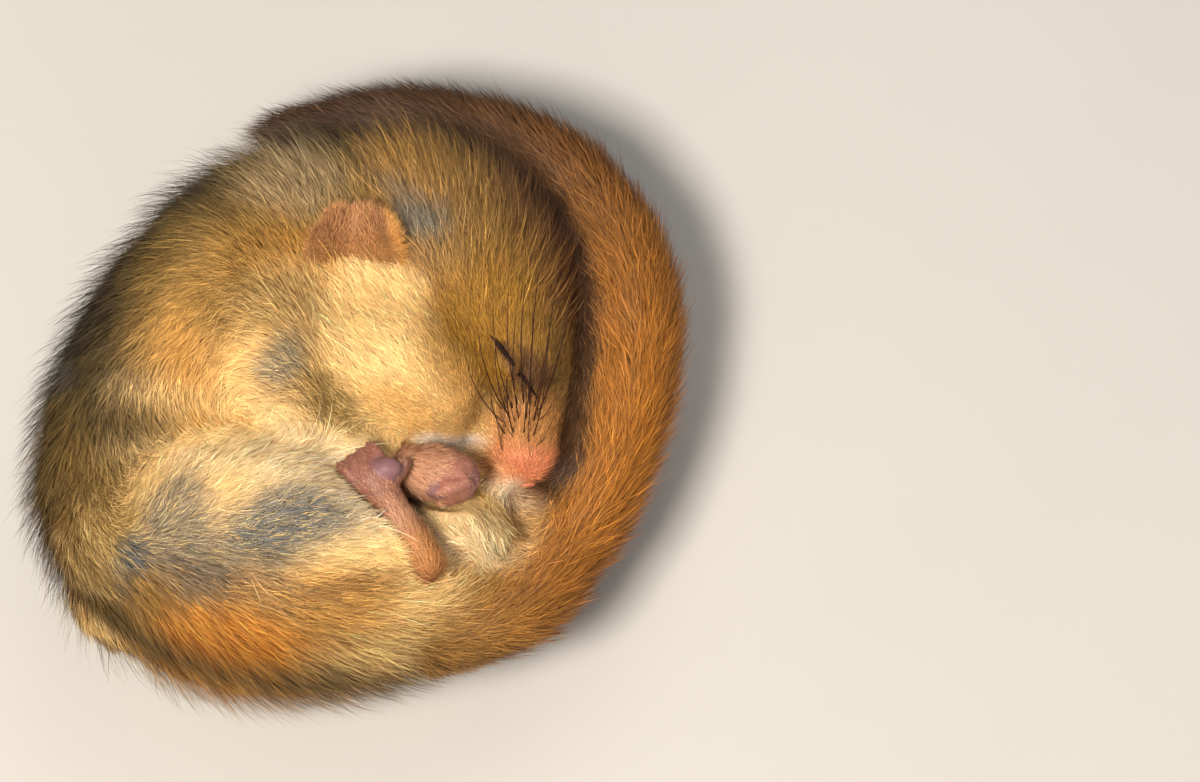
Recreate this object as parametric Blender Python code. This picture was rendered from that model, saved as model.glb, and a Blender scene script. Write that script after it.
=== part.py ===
"""A hazel dormouse asleep, life size: a still model, curled up on its left side.

Sizes are in millimetres from the middle of the curl, with the floor side at low z,
and are turned into metres where a mesh is made. The curl lies flat: the spine runs
round its rim from the nape (top) by the left to the tail root (bottom right), the
belly faces its middle, and the animal's right side looks up. All sizes reach out to
the tips of the coat.
"""

import math

import bmesh
import bpy
import numpy as np
from mathutils import Matrix, Vector
from mathutils.bvhtree import BVHTree

# Driving dimensions
MM = 0.001
GAP = 0.3  # between nodes that touch
MID = 17.5  # height of the plane that halves the body
FLAT = 3.1  # everything lower is taken off where the body lies on the floor

# The trunk, by angle round the curl: outer radius, inner radius, half width
TRUNK = [
    (52, 26.0, 11.0, 8.0),
    (72, 24.3, 5.0, 10.4),
    (100, 22.7, 1.5, 14.2),
    (125, 20.8, 0.8, 16.4),
    (150, 20.1, 0.8, 16.9),
    (175, 21.3, 1.0, 16.6),
    (200, 24.0, 1.5, 14.6),
    (225, 24.4, 2.5, 12.6),
    (250, 23.4, 3.5, 11.8),
    (275, 23.2, 5.0, 11.2),
    (297, 23.4, 7.5, 9.6),
    (316, 21.6, 9.0, 7.4),
]
NECK_SPAN = (56, 87)
CHEST_SPAN = (87, 136)
LOIN_SPAN = (136, 190)
RUMP_SPAN = (190, 314)
TRUNK_SIDES = 22
TRUNK_STEP = 9.0  # degrees between rings
SQUARE = 2.25  # how square the trunk's sections are; 2 is an ellipse

# The head, from nose to nape: x, y, z, half depth, half width
HEAD_MID = 18.2
SKULL = [
    (17.6, -5.8, 20.0, 3.0, 2.8),
    (17.7, -4.0, 19.6, 3.5, 3.5),
    (17.6, -2.1, 19.2, 4.0, 4.0),
    (16.9, 0.2, 18.6, 5.9, 5.7),
    (15.0, 4.0, 18.4, 8.4, 8.4),
    (12.6, 8.3, 18.2, 10.2, 10.8),
    (9.8, 12.3, 18.0, 10.8, 11.6),
    (7.0, 15.2, 17.8, 9.8, 11.2),
]
CHEEK = (7.8, 1.6, 3.8)  # middle of a cheek, and its height over the head's middle
CHEEK_SIZE = (8.6, 7.8, 8.6)
WHISKER_PAD = (17.3, -3.2, 2.2)
WHISKER_PAD_SIZE = (2.3, 2.7, 1.9)
WHISKER_PAD_RISE = 0.9
BROW = (17.4, 3.6, 4.6)
BROW_SIZE = (3.6, 4.8, 3.0)
MOUTH_START = (17.2, -7.2)
MOUTH_END = (13.6, -2.6)
MOUTH_WIDTH = 0.45
MOUTH_REACH = (14.8, -4.4, 19.0)  # the mouth's line is kept within an ellipsoid
MOUTH_REACH_SIZE = (3.2, 3.4, 1.5)
SNOUT_ROUND = 0.55  # how far the snout's blunt end reaches beyond its first ring
HEAD_VOXEL = 0.5
HEAD_SMOOTH = 16
HEAD_FACES = 2150
HEAD_CUTTER_FACES = 1200

# Nose, lids and ears
NOSE = (17.9, -7.2, 20.1)
NOSE_SIZE = (1.05, 0.75, 1.1)
NOSTRIL_RADIUS = 0.2
NOSTRIL_SPREAD = 0.5
LID = (15.9, 2.4)
LID_SIZE = (1.4, 2.5, 0.85)
LID_SUNK = 0.1  # how far the middle of the lids lies under the coat
LID_TURN = 32
SLIT_WIDTH = 0.35
SLIT_DEPTH = 0.35
EAR_ROOT = (4.1, 8.9)
EAR_WIDE = 8.2
EAR_TALL = 4.9
EAR_THICK = 0.8
EAR_CUP = 1.0  # how far its middle sinks below its rim
EAR_SUNK = 0.6  # how far its root lies under the coat
EAR_STEP = 2.4  # how far it rises at its root, before it lies back along the coat
EAR_RISE = 0.5  # how much higher than that its tip is
EAR_FOLD = 0.6  # height of the fold in front of its cup
EAR_FOLD_PLACE = 0.55
EAR_ROWS = 6
EAR_COLUMNS = 12
COATED = ("head", "neck", "torso_chest")  # what the ears and lids lie on

# Right limbs: x, y, z, half depth, half width
UPPER_ARM = [(-5.0, 6.0, 25.5, 6.0, 6.6), (-2.2, 1.6, 26.0, 5.6, 6.4), (0.6, -2.6, 26.0, 4.0, 5.0)]
FOREARM = [(1.6, -3.6, 25.6, 2.6, 3.0), (5.0, -6.2, 25.6, 2.2, 2.6), (8.0, -7.6, 25.4, 1.8, 2.1)]
HAND = [(8.6, -7.6, 25.6, 1.7, 1.9), (10.6, -7.9, 26.0, 2.1, 2.0), (12.4, -8.2, 25.8, 2.0, 1.9)]
THIGH = [
    (9.0, -15.2, 22.0, 5.2, 4.6),
    (2.0, -15.8, 23.0, 6.5, 6.4),
    (-6.0, -15.4, 23.6, 6.9, 7.0),
    (-13.4, -12.4, 24.0, 6.9, 6.8),
]
SHANK = [
    (-14.4, -12.4, 24.4, 6.4, 6.6),
    (-9.0, -11.6, 25.5, 7.2, 7.7),
    (-1.5, -12.4, 26.2, 6.6, 7.0),
    (5.0, -14.4, 25.8, 4.4, 4.4),
    (9.6, -16.0, 25.0, 2.4, 2.4),
]
FOOT = [
    (10.2, -16.0, 26.5, 1.8, 1.8),
    (8.7, -13.6, 27.5, 1.7, 1.5),
    (7.1, -11.2, 28.4, 1.6, 1.4),
    (5.7, -9.3, 29.0, 1.7, 1.4),
]
BELLY = (9.7, -10.9, 17.5)
BELLY_SIZE = (8.4, 6.2, 8.6)
BELLY_UNDER = (12.4, -9.0, 13.2)  # the lower fold of the belly, under the muzzle
BELLY_UNDER_SIZE = (5.2, 5.6, 4.7)

# Left limbs lie below, nearly as the right ones mirrored
LEFT_FOOT = [
    (9.6, -16.4, 9.6, 1.8, 2.0),
    (12.6, -13.9, 10.8, 1.8, 1.7),
    (15.4, -11.2, 12.8, 2.0, 1.7),
    (16.9, -9.4, 14.1, 1.9, 1.5),
]

FINGERS = 4
FINGER_RADIUS = 0.66
FINGER_SPREAD = 2.6
FINGER_BEND = (0.9, -1.25, 0.15)
FINGER_TIP = (-1.5, -0.4, 0.1)
FINGER_CLAW = (-1.0, -0.6, 0.0)
TOES = 5
TOE_RADIUS = 0.68
TOE_SPREAD = 3.1
TOE_LENGTH = 1.9
CLAW = 1.0

# The tail's middle line, from its root: x, y, z, half depth, half width
TAIL = [
    (9.6, -19.4, 17.6, 4.4, 5.6),
    (14.2, -18.3, 17.4, 4.3, 4.9),
    (19.2, -14.6, 17.0, 4.0, 4.3),
    (24.0, -6.6, 16.6, 4.1, 4.2),
    (26.9, 2.4, 16.2, 4.2, 4.3),
    (27.3, 9.6, 16.0, 4.3, 4.3),
    (25.8, 15.8, 15.7, 4.3, 4.2),
    (22.4, 21.4, 15.4, 4.1, 4.2),
    (17.2, 25.2, 14.6, 4.0, 4.2),
    (11.0, 27.5, 13.6, 3.9, 4.1),
    (4.4, 28.3, 12.6, 3.5, 3.8),
    (-1.8, 28.0, 12.0, 2.6, 2.8),
]
TAIL_LENGTHS = 5
TAIL_SIDES = 14
TAIL_STEPS = 3

ROUND = (30, 60)  # degrees at which a round end has rings
SMALL_ROUND = (45,)

COLOURS = {
    "back": (0.33, 0.22, 0.10),
    "cream": (0.80, 0.62, 0.34),
    "head": (0.42, 0.26, 0.10),
    "tail": (0.55, 0.25, 0.07),
    "skin": (0.66, 0.36, 0.27),
    "ear": (0.45, 0.20, 0.09),
    "lid": (0.12, 0.05, 0.04),
    "nose": (0.72, 0.32, 0.26),
}


def clear_scene():
    for thing in list(bpy.data.objects):
        bpy.data.objects.remove(thing)


def material(name):
    made = bpy.data.materials.get(name)
    if made:
        return made
    made = bpy.data.materials.new(name)
    made.use_nodes = True
    shader = made.node_tree.nodes["Principled BSDF"]
    shader.inputs["Base Color"].default_value = (*COLOURS[name], 1.0)
    shader.inputs["Roughness"].default_value = 0.45 if name in ("nose", "lid") else 0.85
    shader.inputs["Metallic"].default_value = 0.0
    return made


def along(stations, steps):
    """Rows read from a smooth curve through the stations."""
    rows = np.array(stations, float)
    padded = np.vstack([2 * rows[0] - rows[1], rows, 2 * rows[-1] - rows[-2]])
    read = []
    for k in range(len(rows) - 1):
        a, b, c, d = padded[k : k + 4]
        for step in range(steps):
            t = step / steps
            bend = (2 * a - 5 * b + 4 * c - d) * t * t + (3 * b - a - 3 * c + d) * t**3
            read.append(0.5 * (2 * b + (c - a) * t + bend))
    read.append(rows[-1])
    return np.array(read)


def power(value, square):
    return math.copysign(abs(value) ** (2.0 / square), value)


def mesh_from_rings(name, rings, first_tip=None, last_tip=None):
    """A closed mesh from rings of points, ended by a tip or by a flat face."""
    model = bmesh.new()
    rows = [[model.verts.new(Vector(p) * MM) for p in ring] for ring in rings]
    sides = len(rows[0])
    for low, high in zip(rows, rows[1:]):
        for k in range(sides):
            after = (k + 1) % sides
            model.faces.new((low[k], low[after], high[after], high[k]))
    for row, tip in ((rows[0], first_tip), (rows[-1], last_tip)):
        if tip is None:
            model.faces.new(row)
            continue
        point = model.verts.new(Vector(tip) * MM)
        for k in range(sides):
            model.faces.new((row[k], row[(k + 1) % sides], point))
    bmesh.ops.recalc_face_normals(model, faces=model.faces)
    return finished_mesh(name, model)


def finished_mesh(name, model):
    mesh = bpy.data.meshes.new(name)
    model.to_mesh(mesh)
    model.free()
    thing = bpy.data.objects.new(name, mesh)
    bpy.context.scene.collection.objects.link(thing)
    return thing


def sweep(name, stations, grow=0.0, sides=14, steps=2, lifts=ROUND, last=1.0, first=1.0):
    """A limb with round ends along its stations. first and last say how long its ends are."""
    rows = along(stations, steps)
    middles = rows[:, :3]
    ways = np.gradient(middles, axis=0)
    ways /= np.linalg.norm(ways, axis=1)[:, None]
    rings = []
    turns = np.linspace(0, 2 * math.pi, sides, endpoint=False)

    def ring(k, share=1.0, shift=0.0):
        way = ways[k]
        out = np.cross(way, (0.0, 0.0, 1.0))
        out /= np.linalg.norm(out)
        up = np.cross(out, way)
        deep, wide = rows[k, 3] + grow, rows[k, 4] + grow
        middle = middles[k] + way * shift
        return [
            middle + share * (deep * math.cos(t) * out + wide * math.sin(t) * up) for t in turns
        ]

    def reach(k, roundness):
        return 0.5 * (rows[k, 3] + rows[k, 4]) * roundness + grow

    start, end = reach(0, first), reach(-1, last)
    for lift in reversed(lifts):
        angle = math.radians(lift)
        rings.append(ring(0, math.cos(angle), -start * math.sin(angle)))
    rings += [ring(k) for k in range(len(rows))]
    for lift in lifts:
        angle = math.radians(lift)
        rings.append(ring(-1, math.cos(angle), end * math.sin(angle)))
    tips = middles[0] - ways[0] * start, middles[-1] + ways[-1] * end
    return mesh_from_rings(name, rings, *tips)


def ball(name, middle, size, grow=0.0, turn=0.0, detail=2):
    """An ellipsoid, turned by an angle about the upright axis."""
    model = bmesh.new()
    bmesh.ops.create_icosphere(model, subdivisions=detail, radius=1.0)
    scale = Matrix.Diagonal((*((s + grow) * MM for s in size), 1.0))
    place = Matrix.Translation(Vector(middle) * MM)
    spin = Matrix.Rotation(math.radians(turn), 4, "Z")
    bmesh.ops.transform(model, matrix=place @ spin @ scale, verts=model.verts)
    return finished_mesh(name, model)


def trunk_at(angle):
    """Outer radius, inner radius and half width of the trunk at an angle."""
    table = np.array(TRUNK, float)
    smooth = along(TRUNK, 8)
    angle = min(max(angle, table[0, 0]), table[-1, 0])
    return [float(np.interp(angle, smooth[:, 0], smooth[:, k])) for k in (1, 2, 3)]


def trunk_ring(angle, grow, share=1.0, swing=0.0):
    outer, inner, wide = trunk_at(angle)
    radius = 0.5 * (outer + inner)
    deep = (0.5 * (outer - inner) + grow) * share
    wide = (wide + grow) * share
    around = math.radians(angle)
    out = np.array((math.cos(around), math.sin(around), 0.0))
    on = np.array((-math.sin(around), math.cos(around), 0.0))
    middle = out * radius + on * swing + np.array((0.0, 0.0, MID))
    ring = []
    for k in range(TRUNK_SIDES):
        t = 2 * math.pi * k / TRUNK_SIDES
        flat = deep * power(math.cos(t), SQUARE)
        tall = wide * power(math.sin(t), SQUARE)
        ring.append(middle + out * flat + np.array((0.0, 0.0, tall)))
    return ring


def trunk(name, span, grow=0.0, round_end=0.0):
    """A length of the trunk between two angles; a half gap is left at each flat end."""
    radius = 0.5 * sum(trunk_at(sum(span) / 2)[:2])
    half_gap = math.degrees((GAP / 2 - grow) / radius)
    low, high = span[0] + half_gap, span[1] - half_gap
    count = max(2, round((high - low) / TRUNK_STEP))
    rings = [trunk_ring(a, grow) for a in np.linspace(low, high, count + 1)]
    tip = None
    if round_end:
        for lift in ROUND:
            t = math.radians(lift)
            rings.append(trunk_ring(high, grow, math.cos(t), (round_end + grow) * math.sin(t)))
        tip = np.mean(trunk_ring(high, grow, 0.01, round_end + grow), axis=0)
    return mesh_from_rings(name, rings, None, tip)


def modify(thing, kind, **settings):
    """Adds one modifier, applies it and returns the object."""
    step = thing.modifiers.new(kind.title(), kind)
    for key, value in settings.items():
        setattr(step, key, value)
    graph = bpy.context.evaluated_depsgraph_get()
    mesh = bpy.data.meshes.new_from_object(thing.evaluated_get(graph))
    thing.modifiers.clear()
    old = thing.data
    thing.data = mesh
    bpy.data.meshes.remove(old)
    return thing


def fused(name, pieces):
    """One body from closed pieces that run into each other."""
    base, rest = pieces[0], pieces[1:]
    group = bpy.data.collections.new(name + "_pieces")
    for piece in rest:
        group.objects.link(piece)
    modify(base, "BOOLEAN", operation="UNION", operand_type="COLLECTION", collection=group)
    for piece in rest:
        bpy.data.objects.remove(piece)
    bpy.data.collections.remove(group)
    base.name = name
    return base


def volume(thing):
    """The volume of a closed mesh, or nothing where an edge isn't between two faces."""
    model = bmesh.new()
    model.from_mesh(thing.data)
    whole = model.faces and all(edge.is_manifold for edge in model.edges)
    size = model.calc_volume() if whole else 0.0
    model.free()
    return size


def cut(thing, cutter):
    """Takes the cutter's shape out, by the second solver where the first one fails."""
    before = thing.data.copy()
    least = volume(thing) - volume(cutter)
    modify(thing, "BOOLEAN", operation="DIFFERENCE", object=cutter)
    if volume(thing) <= max(least, 0.0):
        thing.data = before
        modify(thing, "BOOLEAN", operation="DIFFERENCE", object=cutter, solver="MANIFOLD")
    return thing


def cut_once(thing, cutter):
    cut(thing, cutter)
    bpy.data.objects.remove(cutter)
    return thing


def softened(thing, voxel, smooth, faces):
    """The same body with its joints blended, and with about so many triangles."""
    modify(thing, "REMESH", mode="VOXEL", voxel_size=voxel * MM)
    modify(thing, "SMOOTH", factor=0.5, iterations=smooth)
    modify(thing, "TRIANGULATE")
    share = faces / len(thing.data.polygons)
    if share < 1.0:
        modify(thing, "DECIMATE", ratio=share)
    return thing


def largest_piece(thing):
    """Drops the loose scraps that a cut leaves."""
    model = bmesh.new()
    model.from_mesh(thing.data)
    left = set(model.verts)
    groups = []
    while left:
        group = {left.pop()}
        edge = list(group)
        while edge:
            vert = edge.pop()
            for link in vert.link_edges:
                other = link.other_vert(vert)
                if other in left:
                    left.remove(other)
                    group.add(other)
                    edge.append(other)
        groups.append(group)
    groups.sort(key=len)
    for group in groups[:-1]:
        bmesh.ops.delete(model, geom=list(group), context="VERTS")
    model.to_mesh(thing.data)
    model.free()
    return thing


def mirrored(stations):
    return [(x, y, 2 * MID - z, deep, wide) for x, y, z, deep, wide in stations]


def box(name, start, end, width, low, high):
    """An upright plate from start to end, seen from above."""
    start, end = Vector((*start, 0.0)), Vector((*end, 0.0))
    side = (end - start).normalized().cross(Vector((0, 0, 1))) * width / 2
    corners = [start - side, start + side, end + side, end - side]
    ring = [[(c.x, c.y, z) for c in corners] for z in (low, high)]
    return mesh_from_rings(name, ring)


RESTING_CHEEK = (8.0, 0.5, 10.2)  # the lower cheek, which the head rests on
RESTING_CHEEK_SIZE = (7.0, 7.0, 8.2)

# Each form takes how far it is grown beyond its real size


def head_form(name, grow=0.0):
    pieces = [sweep(name, SKULL, grow, sides=22, last=0.75, first=SNOUT_ROUND)]
    pieces.append(ball("resting_cheek", RESTING_CHEEK, RESTING_CHEEK_SIZE, grow))
    for side in (1, -1):
        x, y, z = CHEEK
        pieces.append(ball("cheek", (x, y, HEAD_MID + side * z), CHEEK_SIZE, grow))
        x, y, z = WHISKER_PAD
        height = HEAD_MID + WHISKER_PAD_RISE + side * z
        pieces.append(ball("pad", (x, y, height), WHISKER_PAD_SIZE, grow, 10))
        x, y, z = BROW
        pieces.append(ball("brow", (x, y, HEAD_MID + side * z), BROW_SIZE, grow, 20))
    faces = HEAD_CUTTER_FACES if grow else HEAD_FACES
    head = softened(fused(name, pieces), HEAD_VOXEL, HEAD_SMOOTH, faces)
    if grow:
        return head
    mouth = box("mouth", MOUTH_START, MOUTH_END, MOUTH_WIDTH, HEAD_MID - 6, HEAD_MID + 6)
    keep = ball("mouth_reach", MOUTH_REACH, MOUTH_REACH_SIZE)
    modify(mouth, "BOOLEAN", operation="INTERSECT", object=keep)
    bpy.data.objects.remove(keep)
    return cut_once(head, mouth)


def coat_trees():
    graph = bpy.context.evaluated_depsgraph_get()
    made = [bpy.data.objects[name] for name in COATED if name in bpy.data.objects]
    return [BVHTree.FromObject(thing, graph) for thing in made]


def on_head(x, y, left):
    """The point of the coat over a spot of the plan, on the head's upper or lower side."""
    way = Vector((0, 0, 1 if left else -1))
    start = Vector((x, y, HEAD_MID)) * MM - way * 0.1
    hits = [tree.ray_cast(start, way)[0] for tree in coat_trees()]
    first = min((hit for hit in hits if hit), key=lambda hit: (hit - start).length)
    return np.array(first) / MM


def limb_form(stations, sides=14, last=0.8):
    def form(name, grow=0.0):
        return sweep(name, stations, grow, sides=sides, last=last)

    return form


def belly_form(name, grow=0.0):
    under = ball("under", BELLY_UNDER, BELLY_UNDER_SIZE, grow)
    return fused(name, [ball(name, BELLY, BELLY_SIZE, grow), under])


def trunk_form(span, round_end=0.0):
    def form(name, grow=0.0):
        return trunk(name, span, grow, round_end)

    return form


def digit(name, start, knuckle, tip, radius, grow):
    """A finger or toe with a pad at its end and a short claw beyond."""
    stations = [
        (*start, radius, radius),
        (*knuckle, radius * 0.95, radius * 0.95),
        (*tip, radius * 1.1, radius * 1.1),
    ]
    return sweep(name, stations, grow, sides=7, steps=1, lifts=SMALL_ROUND)


def claw(name, tip, way, grow):
    tip, way = np.array(tip), np.array(way)
    way = way / np.linalg.norm(way)
    stations = [(*(tip + way * CLAW * k), w, w) for k, w in ((0.3, 0.4), (1.2, 0.22))]
    return sweep(name, stations, grow, sides=5, steps=1, lifts=())


def hand_form(left):
    def form(name, grow=0.0):
        up = -1 if left else 1
        stations = mirrored(HAND) if left else HAND
        pieces = [sweep(name, stations, grow, sides=12)]
        knuckles = np.array(stations[-1][:3])
        for k in range(FINGERS):
            spread = (k / (FINGERS - 1) - 0.5) * FINGER_SPREAD
            start = knuckles + (0.0, 0.2, -up * spread)
            bend = start + np.array(FINGER_BEND) * (1.0, 1.0, up)
            tip = bend + np.array(FINGER_TIP) * (1.0, 1.0, up)
            pieces.append(digit("finger", start, bend, tip, FINGER_RADIUS, grow))
            pieces.append(claw("claw", tip, FINGER_CLAW, grow))
        return fused(name, pieces)

    return form


def foot_form(left):
    def form(name, grow=0.0):
        stations = LEFT_FOOT if left else FOOT
        ball_of_foot = np.array(stations[-1][:3])
        ahead = ball_of_foot - np.array(stations[-2][:3])
        ahead /= np.linalg.norm(ahead)
        across = np.cross(ahead, (0, 0, 1.0))
        across /= np.linalg.norm(across)
        down = np.cross(across, ahead)
        side = -1.0 if left else 1.0
        thumb = ball_of_foot - ahead * 1.2 + across * 1.7 * side
        end = thumb + across * 0.9 * side + ahead * 0.6
        hallux = digit("hallux", ball_of_foot - ahead * 1.6, thumb, end, TOE_RADIUS * 1.15, grow)
        pieces = [sweep(name, stations, grow, sides=12), hallux]
        for k in range(TOES - 1):
            spread = (k / (TOES - 2) - 0.5) * TOE_SPREAD
            start = ball_of_foot + across * spread * 0.8 - ahead * 0.5
            bend = start + ahead * TOE_LENGTH + across * spread * 0.15
            tip = bend + ahead * 0.7 - down * 1.0
            pieces.append(digit("toe", start, bend, tip, TOE_RADIUS, grow))
            pieces.append(claw("claw", tip, ahead - down, grow))
        return fused(name, pieces)

    return form


def ear_place(u, v, left):
    """A place on the ear's upper face: u runs across it, v from its root to its tip."""
    half = EAR_WIDE / 2 * math.sqrt(max(1 - (v * 0.97) ** 2.6, 0.05))
    x = EAR_ROOT[0] + u * half
    y = EAR_ROOT[1] + v * EAR_TALL - 0.9 * (1 - v) * u * u
    sink = EAR_CUP * (1 - max(abs(u), v) ** 3) * v * 1.3
    fold = EAR_FOLD * math.exp(-(((u - EAR_FOLD_PLACE) / 0.2) ** 2)) * v * (1 - v) * 4
    lift = EAR_STEP * (1 - (1 - v) ** 4) + v * EAR_RISE - EAR_SUNK - sink + fold
    return on_head(x, y, left) + np.array((0.0, 0.0, -lift if left else lift))


def ear_form(left):
    """A cupped shell: a half round leaf that lies along the coat."""

    def form(name, grow=0.0):
        thick = np.array((0.0, 0.0, -EAR_THICK if left else EAR_THICK))
        across = np.linspace(-1, 1, EAR_COLUMNS + 1)
        rows = [[ear_place(u, v, left) for u in across] for v in np.linspace(0, 1, EAR_ROWS + 1)]
        model = bmesh.new()
        tops = [[model.verts.new(Vector(p) * MM) for p in row] for row in rows]
        lows = [[model.verts.new(Vector(p - thick) * MM) for p in row] for row in rows]

        def quad(a, b, c, d):
            model.faces.new((a, b, c))
            model.faces.new((a, c, d))

        for near_row, far_row, low_near, low_far in zip(tops, tops[1:], lows, lows[1:]):
            for c in range(EAR_COLUMNS):
                quad(near_row[c], near_row[c + 1], far_row[c + 1], far_row[c])
                quad(low_near[c], low_far[c], low_far[c + 1], low_near[c + 1])
            for c in (0, -1):
                quad(near_row[c], far_row[c], low_far[c], low_near[c])
        for r in (0, -1):
            for c in range(EAR_COLUMNS):
                quad(tops[r][c], lows[r][c], lows[r][c + 1], tops[r][c + 1])
        bmesh.ops.recalc_face_normals(model, faces=model.faces)
        return finished_mesh(name, model)

    return form


def lid_form(left):
    def form(name, grow=0.0):
        up = -1 if left else 1
        x, y, low = on_head(*LID, left) - np.array((0.0, 0.0, up * LID_SUNK))
        lid = ball(name, (x, y, low), LID_SIZE, grow, LID_TURN, detail=3)
        turn = math.radians(LID_TURN)
        along_slit = Vector((-math.sin(turn), math.cos(turn)))
        start = Vector((x, y)) - along_slit * LID_SIZE[1] * 0.8
        end = Vector((x, y)) + along_slit * LID_SIZE[1] * 0.8
        top = low + up * LID_SIZE[2]
        slit = box("slit", start, end, SLIT_WIDTH, top - SLIT_DEPTH, top + SLIT_DEPTH)
        return cut_once(lid, slit)

    return form


def nose_form(name, grow=0.0):
    nose = ball(name, NOSE, NOSE_SIZE, grow)
    if grow:
        return nose
    for side in (1, -1):
        middle = (NOSE[0] - 0.1, NOSE[1] - NOSE_SIZE[1], NOSE[2] + side * NOSTRIL_SPREAD)
        size = (NOSTRIL_RADIUS * 1.6, 0.5, NOSTRIL_RADIUS)
        cut_once(nose, ball("nostril", middle, size, detail=1))
    return nose


def tail_rows():
    return along(TAIL, TAIL_STEPS)


def tail_form(number):
    """One length of the tail. Each length but the last ends flat, a gap from the next."""

    def form(name, grow=0.0):
        rows = tail_rows()
        marks = [round(k * (len(rows) - 1) / TAIL_LENGTHS) for k in range(TAIL_LENGTHS + 1)]
        first, last = marks[number], marks[number + 1]
        ways = np.gradient(rows[:, :3], axis=0)
        ways /= np.linalg.norm(ways, axis=1)[:, None]
        rings = []
        for k in range(first, last + 1):
            shift = 0.0
            if k == first and number:
                shift = GAP / 2 - grow
            if k == last and number < TAIL_LENGTHS - 1:
                shift = grow - GAP / 2
            rings.append(tail_ring(rows[k], ways[k], grow, 1.0, shift))
        root = rows[0]
        tip = rows[-1]
        first_tip = last_tip = None
        if number == 0:
            reach = 0.6 * root[3] + grow
            for lift in ROUND:
                t = math.radians(lift)
                ring = tail_ring(root, ways[0], grow, math.cos(t), -reach * math.sin(t))
                rings.insert(0, ring)
            first_tip = root[:3] - ways[0] * reach
        if number == TAIL_LENGTHS - 1:
            reach = 1.5 * tip[3] + grow
            for lift in ROUND:
                t = math.radians(lift)
                rings.append(tail_ring(tip, ways[-1], grow, math.cos(t), reach * math.sin(t)))
            last_tip = tip[:3] + ways[-1] * reach
        return mesh_from_rings(name, rings, first_tip, last_tip)

    return form


def tail_ring(row, way, grow, share, shift):
    out = np.cross(way, (0.0, 0.0, 1.0))
    out /= np.linalg.norm(out)
    up = np.cross(out, way)
    deep, wide = row[3] + grow, row[4] + grow
    middle = row[:3] + way * shift
    turns = np.linspace(0, 2 * math.pi, TAIL_SIDES, endpoint=False)
    return [middle + share * (deep * math.cos(t) * out + wide * math.sin(t) * up) for t in turns]


# Every node with its form and colour. A node makes room for those before it
NODES = [
    ("head", head_form, "head"),
    ("hand_right", hand_form(False), "skin"),
    ("hand_left", hand_form(True), "skin"),
    ("foot_right", foot_form(False), "skin"),
    ("foot_left", foot_form(True), "skin"),
    ("forearm_right", limb_form(FOREARM), "cream"),
    ("forearm_left", limb_form(mirrored(FOREARM)), "cream"),
    ("shank_right", limb_form(SHANK, 16), "cream"),
    ("shank_left", limb_form(mirrored(SHANK), 16), "cream"),
    ("thigh_right", limb_form(THIGH, 16), "back"),
    ("thigh_left", limb_form(mirrored(THIGH), 16), "back"),
    ("upper_arm_right", limb_form(UPPER_ARM, 16), "back"),
    ("upper_arm_left", limb_form(mirrored(UPPER_ARM), 16), "back"),
    ("torso_belly", belly_form, "cream"),
    ("tail_1", tail_form(0), "tail"),
    ("tail_2", tail_form(1), "tail"),
    ("tail_3", tail_form(2), "tail"),
    ("tail_4", tail_form(3), "tail"),
    ("tail_5", tail_form(4), "tail"),
    ("neck", trunk_form(NECK_SPAN), "head"),
    ("torso_chest", trunk_form(CHEST_SPAN), "back"),
    ("torso_loin", trunk_form(LOIN_SPAN), "back"),
    ("torso_rump", trunk_form(RUMP_SPAN, 6.0), "back"),
    ("nose", nose_form, "nose"),
    ("lids_right", lid_form(False), "lid"),
    ("lids_left", lid_form(True), "lid"),
    ("ear_right", ear_form(False), "ear"),
    ("ear_left", ear_form(True), "ear"),
]


FLOOR_TOUCH = 0.05  # a node that reaches less far below the floor is only pressed level

TRUNK_NODES = ("neck", "torso_chest", "torso_loin", "torso_rump")


def extent(thing):
    points = np.array([v.co for v in thing.data.vertices])
    return points.min(axis=0), points.max(axis=0)


def near(a, b):
    """Whether two objects' boxes come within a gap of each other."""
    (a_low, a_high), (b_low, b_high) = extent(a), extent(b)
    return bool(np.all(a_low - GAP * MM <= b_high) and np.all(b_low <= a_high + GAP * MM))


def own_neighbour(name, other):
    """Lengths of one tail, or of the trunk, already keep their gap."""
    chains = [n for n, _, _ in NODES if n.startswith("tail_")], TRUNK_NODES
    return any(name in chain and other in chain for chain in chains)


def press_on_floor(thing):
    if extent(thing)[0][2] < (FLAT - FLOOR_TOUCH) * MM:
        floor = box("floor", (-60.0, 0.0), (60.0, 0.0), 120.0, -30.0, FLAT)
        cut_once(thing, floor)
    for vert in thing.data.vertices:
        vert.co.z = max(vert.co.z, FLAT * MM)


def build():
    clear_scene()
    made = []
    cutters = {}
    for name, form, colour in NODES:
        thing = form(name)
        for earlier, earlier_form, _ in made:
            other = earlier.name
            if own_neighbour(name, other) or not near(thing, earlier):
                continue
            if other not in cutters:
                cutters[other] = earlier_form(other + "_cutter", GAP)
            cut(thing, cutters[other])
        largest_piece(thing)
        press_on_floor(thing)
        made.append((thing, form, colour))
    for cutter in cutters.values():
        bpy.data.objects.remove(cutter)
    lows, highs = zip(*(extent(thing) for thing, _, _ in made))
    low, high = np.min(lows, axis=0), np.max(highs, axis=0)
    shift = Vector((-(low[0] + high[0]) / 2, -(low[1] + high[1]) / 2, -low[2]))
    for thing, _, colour in made:
        for vert in thing.data.vertices:
            vert.co += shift
        thing.data.materials.append(material(colour))
        thing.data.shade_smooth()
        thing.data.set_sharp_from_angle(angle=math.radians(50))


build()
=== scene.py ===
"""The hazel dormouse's looks: skin, coat, eyes, nose, ears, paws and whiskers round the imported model.

Places are in millimetres from the middle of the curl, as the animal lies on its left
side: x and y in plan, z up, with the floor at 3.1. at() turns them into the frame's metres.
"""

import math

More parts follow.
